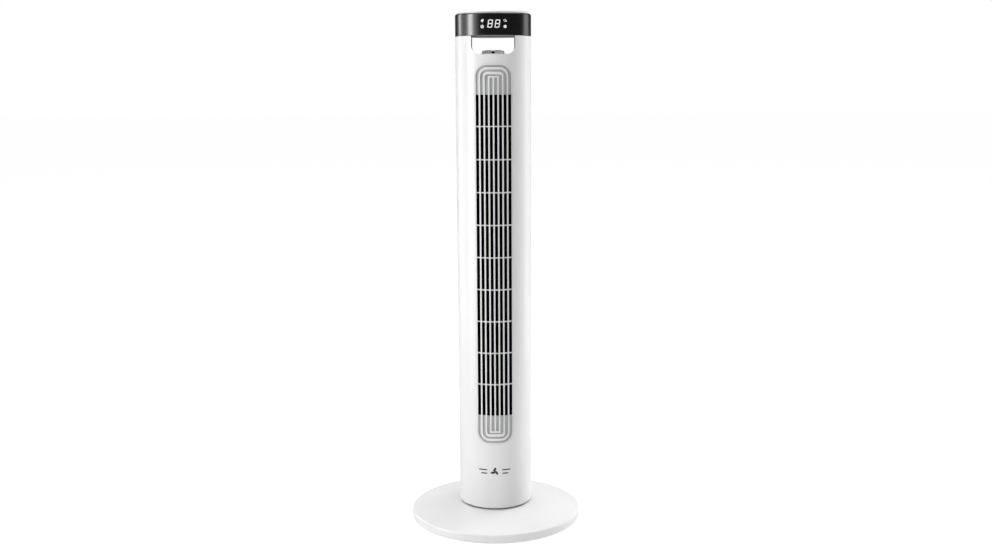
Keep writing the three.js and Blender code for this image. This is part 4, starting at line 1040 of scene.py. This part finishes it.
# %% Make the drum
drum_low, drum_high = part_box("impeller")
drum_radius = drum_high.x
drum_y = (drum_low.y + drum_high.y) / 2
blade_height = 598 * MM
blade_depth = 9 * MM
blade_count = 30
ring_count = 8
ring_height = 2 * MM
foot_of_blade = (drum_radius - 1 * MM - blade_depth / 2, drum_y, drum_low.z + 1 * MM)
bpy.ops.object.select_all(action="DESELECT")
bpy.ops.mesh.primitive_plane_add(size=1, location=foot_of_blade, rotation=(math.pi / 2, 0, 0))
drum = bpy.context.active_object
bpy.ops.object.transform_apply(location=True, rotation=True, scale=True)
bpy.ops.object.mode_set(mode="EDIT")
bpy.ops.mesh.select_all(action="SELECT")
bpy.ops.transform.resize(value=(blade_depth, 1, blade_height), center_override=foot_of_blade)
bpy.ops.transform.translate(value=(0, 0, blade_height / 2))
bpy.ops.mesh.subdivide(number_cuts=3)
bpy.ops.object.mode_set(mode="OBJECT")
for point in drum.data.vertices:
    inward = (drum_radius - 1 * MM - point.co.x) / blade_depth
    point.co.y += 4.5 * MM * (1 - inward) ** 2
thick = drum.modifiers.new("thick", "SOLIDIFY")
thick.thickness = 1.0 * MM
bpy.ops.object.modifier_apply(modifier=thick.name)
bpy.ops.object.mode_set(mode="EDIT")
bpy.ops.mesh.select_all(action="SELECT")
bpy.ops.mesh.spin(steps=blade_count - 1, dupli=True, angle=math.tau * (blade_count - 1) / blade_count,
                  center=(0, drum_y, 0), axis=(0, 0, 1))
bpy.ops.object.mode_set(mode="OBJECT")
rings = []
for level in range(ring_count):
    low = drum_low.z + level * blade_height / (ring_count - 1)
    high = low + ring_height
    inner = 5 * MM if level in (0, ring_count - 1) else drum_radius - 12 * MM
    rings.append(turned([
        (inner, low), (drum_radius, low), (drum_radius, high), (inner, high),
    ], 64, centre=(0, drum_y)))
stub = turned([
    (3 * MM, drum_low.z + blade_height), (3 * MM, drum_high.z - 0.6 * MM), (2.4 * MM, drum_high.z),
], 32, True, (0, drum_y))
hub_top = drum_low.z + 14 * MM
hub = turned([
    (4.4 * MM, drum_low.z), (10 * MM, drum_low.z), (10 * MM, hub_top), (4.4 * MM, hub_top),
], 40, centre=(0, drum_y))
drum = joined(drum, *rings, stub, hub)
complete(drum, "impeller_drum", inner_black, "rotor", "black_plastic", "impeller")

# %% [markdown]
# ## The cord's gland
# The supply cord leaves low at the back through a rubber gland with a rolled lip.

# %% Turn the gland
gland_length = gland_high.y - gland_low.y
gland_bore = 3.7 * MM
gland_neck = gland_hole - gap
gland = turned([
    (gland_bore, 0), (9.4 * MM, 0), (10 * MM, 0.6 * MM), (10 * MM, 2.8 * MM), (gland_neck, 2.8 * MM),
    (gland_neck, gland_length - 1.9 * MM), (9 * MM, gland_length - 1.9 * MM),
    *bend(8.2 * MM, gland_length - 0.8 * MM, 0.8 * MM, 0, 90, 4), (4.4 * MM, gland_length),
    (gland_bore, gland_length - 0.7 * MM),
], around=48)
gland.rotation_euler = (-math.pi / 2, 0, 0)
gland.location = (0, gland_low.y, gland_z)
complete(gland, "gland_ring", rubber, "tower", "rubber", "cord_gland")

# %% [markdown]
# ## The pieces inside
# What sits inside the casing keeps its exact shape and only takes a better finish, by the slot that the
# record gives it.

# %% Dress the inner pieces
by_slot = {
    "white_plastic": white, "black_gloss": smoked, "black_plastic": inner_black, "grey_plastic": cap_grey,
    "acetal": acetal, "rubber": rubber, "steel": steel, "copper": copper, "bronze": bronze,
    "board": circuit, "dark_lens": red_lens,
}
slots = {part["node"]: part["material_slot"] for part in frame["record"]["subparts"]}
for node_name, node in frame["nodes"].items():
    looks = by_slot[slots[node_name]]
    for place in node.material_slots:
        place.material = looks
    if not node.material_slots:
        node.data.materials.append(looks)
print("dressed", len(frame["nodes"]), "exact pieces")

# %% [markdown]
# ## Floor and light
# The fan stands in a white studio on white paper. A tall key light on the left and a dimmer one behind on
# the right shape the tower, and neither shows in the gloss. The streaks in the band come from lights of
# their own, which show in the gloss alone. A wide light overhead keeps the foot and the floor clean. Gloss
# also sees a dimmer room and floor than the camera does, so that the band stays dark.

# %% Lay the floor
bpy.ops.object.select_all(action="DESELECT")
bpy.ops.mesh.primitive_plane_add(size=60, location=(0, 0, 0))
floor = bpy.context.active_object
floor.name = "studio_floor"
paper = bpy.data.materials.new("studio_paper")
paper.use_nodes = True
paper_shader = paper.node_tree.nodes["Principled BSDF"]
paper_shader.inputs["Roughness"].default_value = 0.9
paper_shader.inputs["Specular IOR Level"].default_value = 0.0
paper_shader.inputs["Emission Color"].default_value = (1, 1, 1, 1)
light_path = paper.node_tree.nodes.new("ShaderNodeLightPath")
glow = paper.node_tree.nodes.new("ShaderNodeMapRange")
glow.inputs["To Min"].default_value = 0.15
glow.inputs["To Max"].default_value = 0.72
paper.node_tree.links.new(light_path.outputs["Is Camera Ray"], glow.inputs["Value"])
paper.node_tree.links.new(glow.outputs["Result"], paper_shader.inputs["Emission Strength"])
tone = paper.node_tree.nodes.new("ShaderNodeMapRange")
tone.inputs["To Min"].default_value = 0.9
tone.inputs["To Max"].default_value = 0.25
paper.node_tree.links.new(light_path.outputs["Is Glossy Ray"], tone.inputs["Value"])
paper.node_tree.links.new(tone.outputs["Result"], paper_shader.inputs["Base Color"])
floor.data.materials.append(paper)


# %% Hang the lights
def softbox(name, azimuth, distance, height, width, tall, power):
    """A tall soft light that faces the tower; azimuth 0 is in front and 90 on the left."""
    lamp = bpy.data.lights.new(name, "AREA")
    lamp.shape = "RECTANGLE"
    lamp.size, lamp.size_y = width, tall
    lamp.energy = power
    lamp.use_shadow = True
    placed = bpy.data.objects.new(name, lamp)
    bpy.context.scene.collection.objects.link(placed)
    a = math.radians(azimuth)
    placed.location = (-distance * math.sin(a), -distance * math.cos(a), height)
    placed.rotation_euler = (math.pi / 2, 0, -a)
    placed.visible_camera = False
    return placed


key = softbox("key", 61, 1.6, 0.72, 0.5, 1.6, 11.5)
key.visible_glossy = False
streaks = (
    ("streak_core", 71, 0.4, 18),
    ("streak_glow", 62, 0.8, 4),
    ("left_edge", 118, 0.3, 7),
    ("left_haze", 100, 1.4, 5),
    ("right_haze", -117, 0.7, 5),
)
for name, azimuth, width, power in streaks:
    streak = softbox(name, azimuth, 1.5, 0.8, width, 1.7, power)
    streak.visible_diffuse = False
right_edge = softbox("right_edge", -119, 1.5, 0.6, 0.35, 1.4, 17)
right_edge.visible_glossy = False
overhead = softbox("overhead", 180, 0.35, 2.8, 2.6, 2.6, 66)
overhead.rotation_euler = (0, 0, 0)

# %% Fill the room with light
world = bpy.data.worlds.new("studio")
bpy.context.scene.world = world
world.use_nodes = True
sky_nodes, sky_links = world.node_tree.nodes, world.node_tree.links
path = sky_nodes.new("ShaderNodeLightPath")
room = sky_nodes.new("ShaderNodeMix")
room.inputs["A"].default_value = 0.3
room.inputs["B"].default_value = 0.06
sky_links.new(path.outputs["Is Glossy Ray"], room.inputs["Factor"])
seen = sky_nodes.new("ShaderNodeMix")
seen.inputs["B"].default_value = 1.0
sky_links.new(path.outputs["Is Camera Ray"], seen.inputs["Factor"])
sky_links.new(room.outputs["Result"], seen.inputs["A"])
sky_nodes["Background"].inputs["Color"].default_value = (1, 1, 1, 1)
sky_links.new(seen.outputs["Result"], sky_nodes["Background"].inputs["Strength"])
bpy.context.scene.view_settings.view_transform = "Standard"
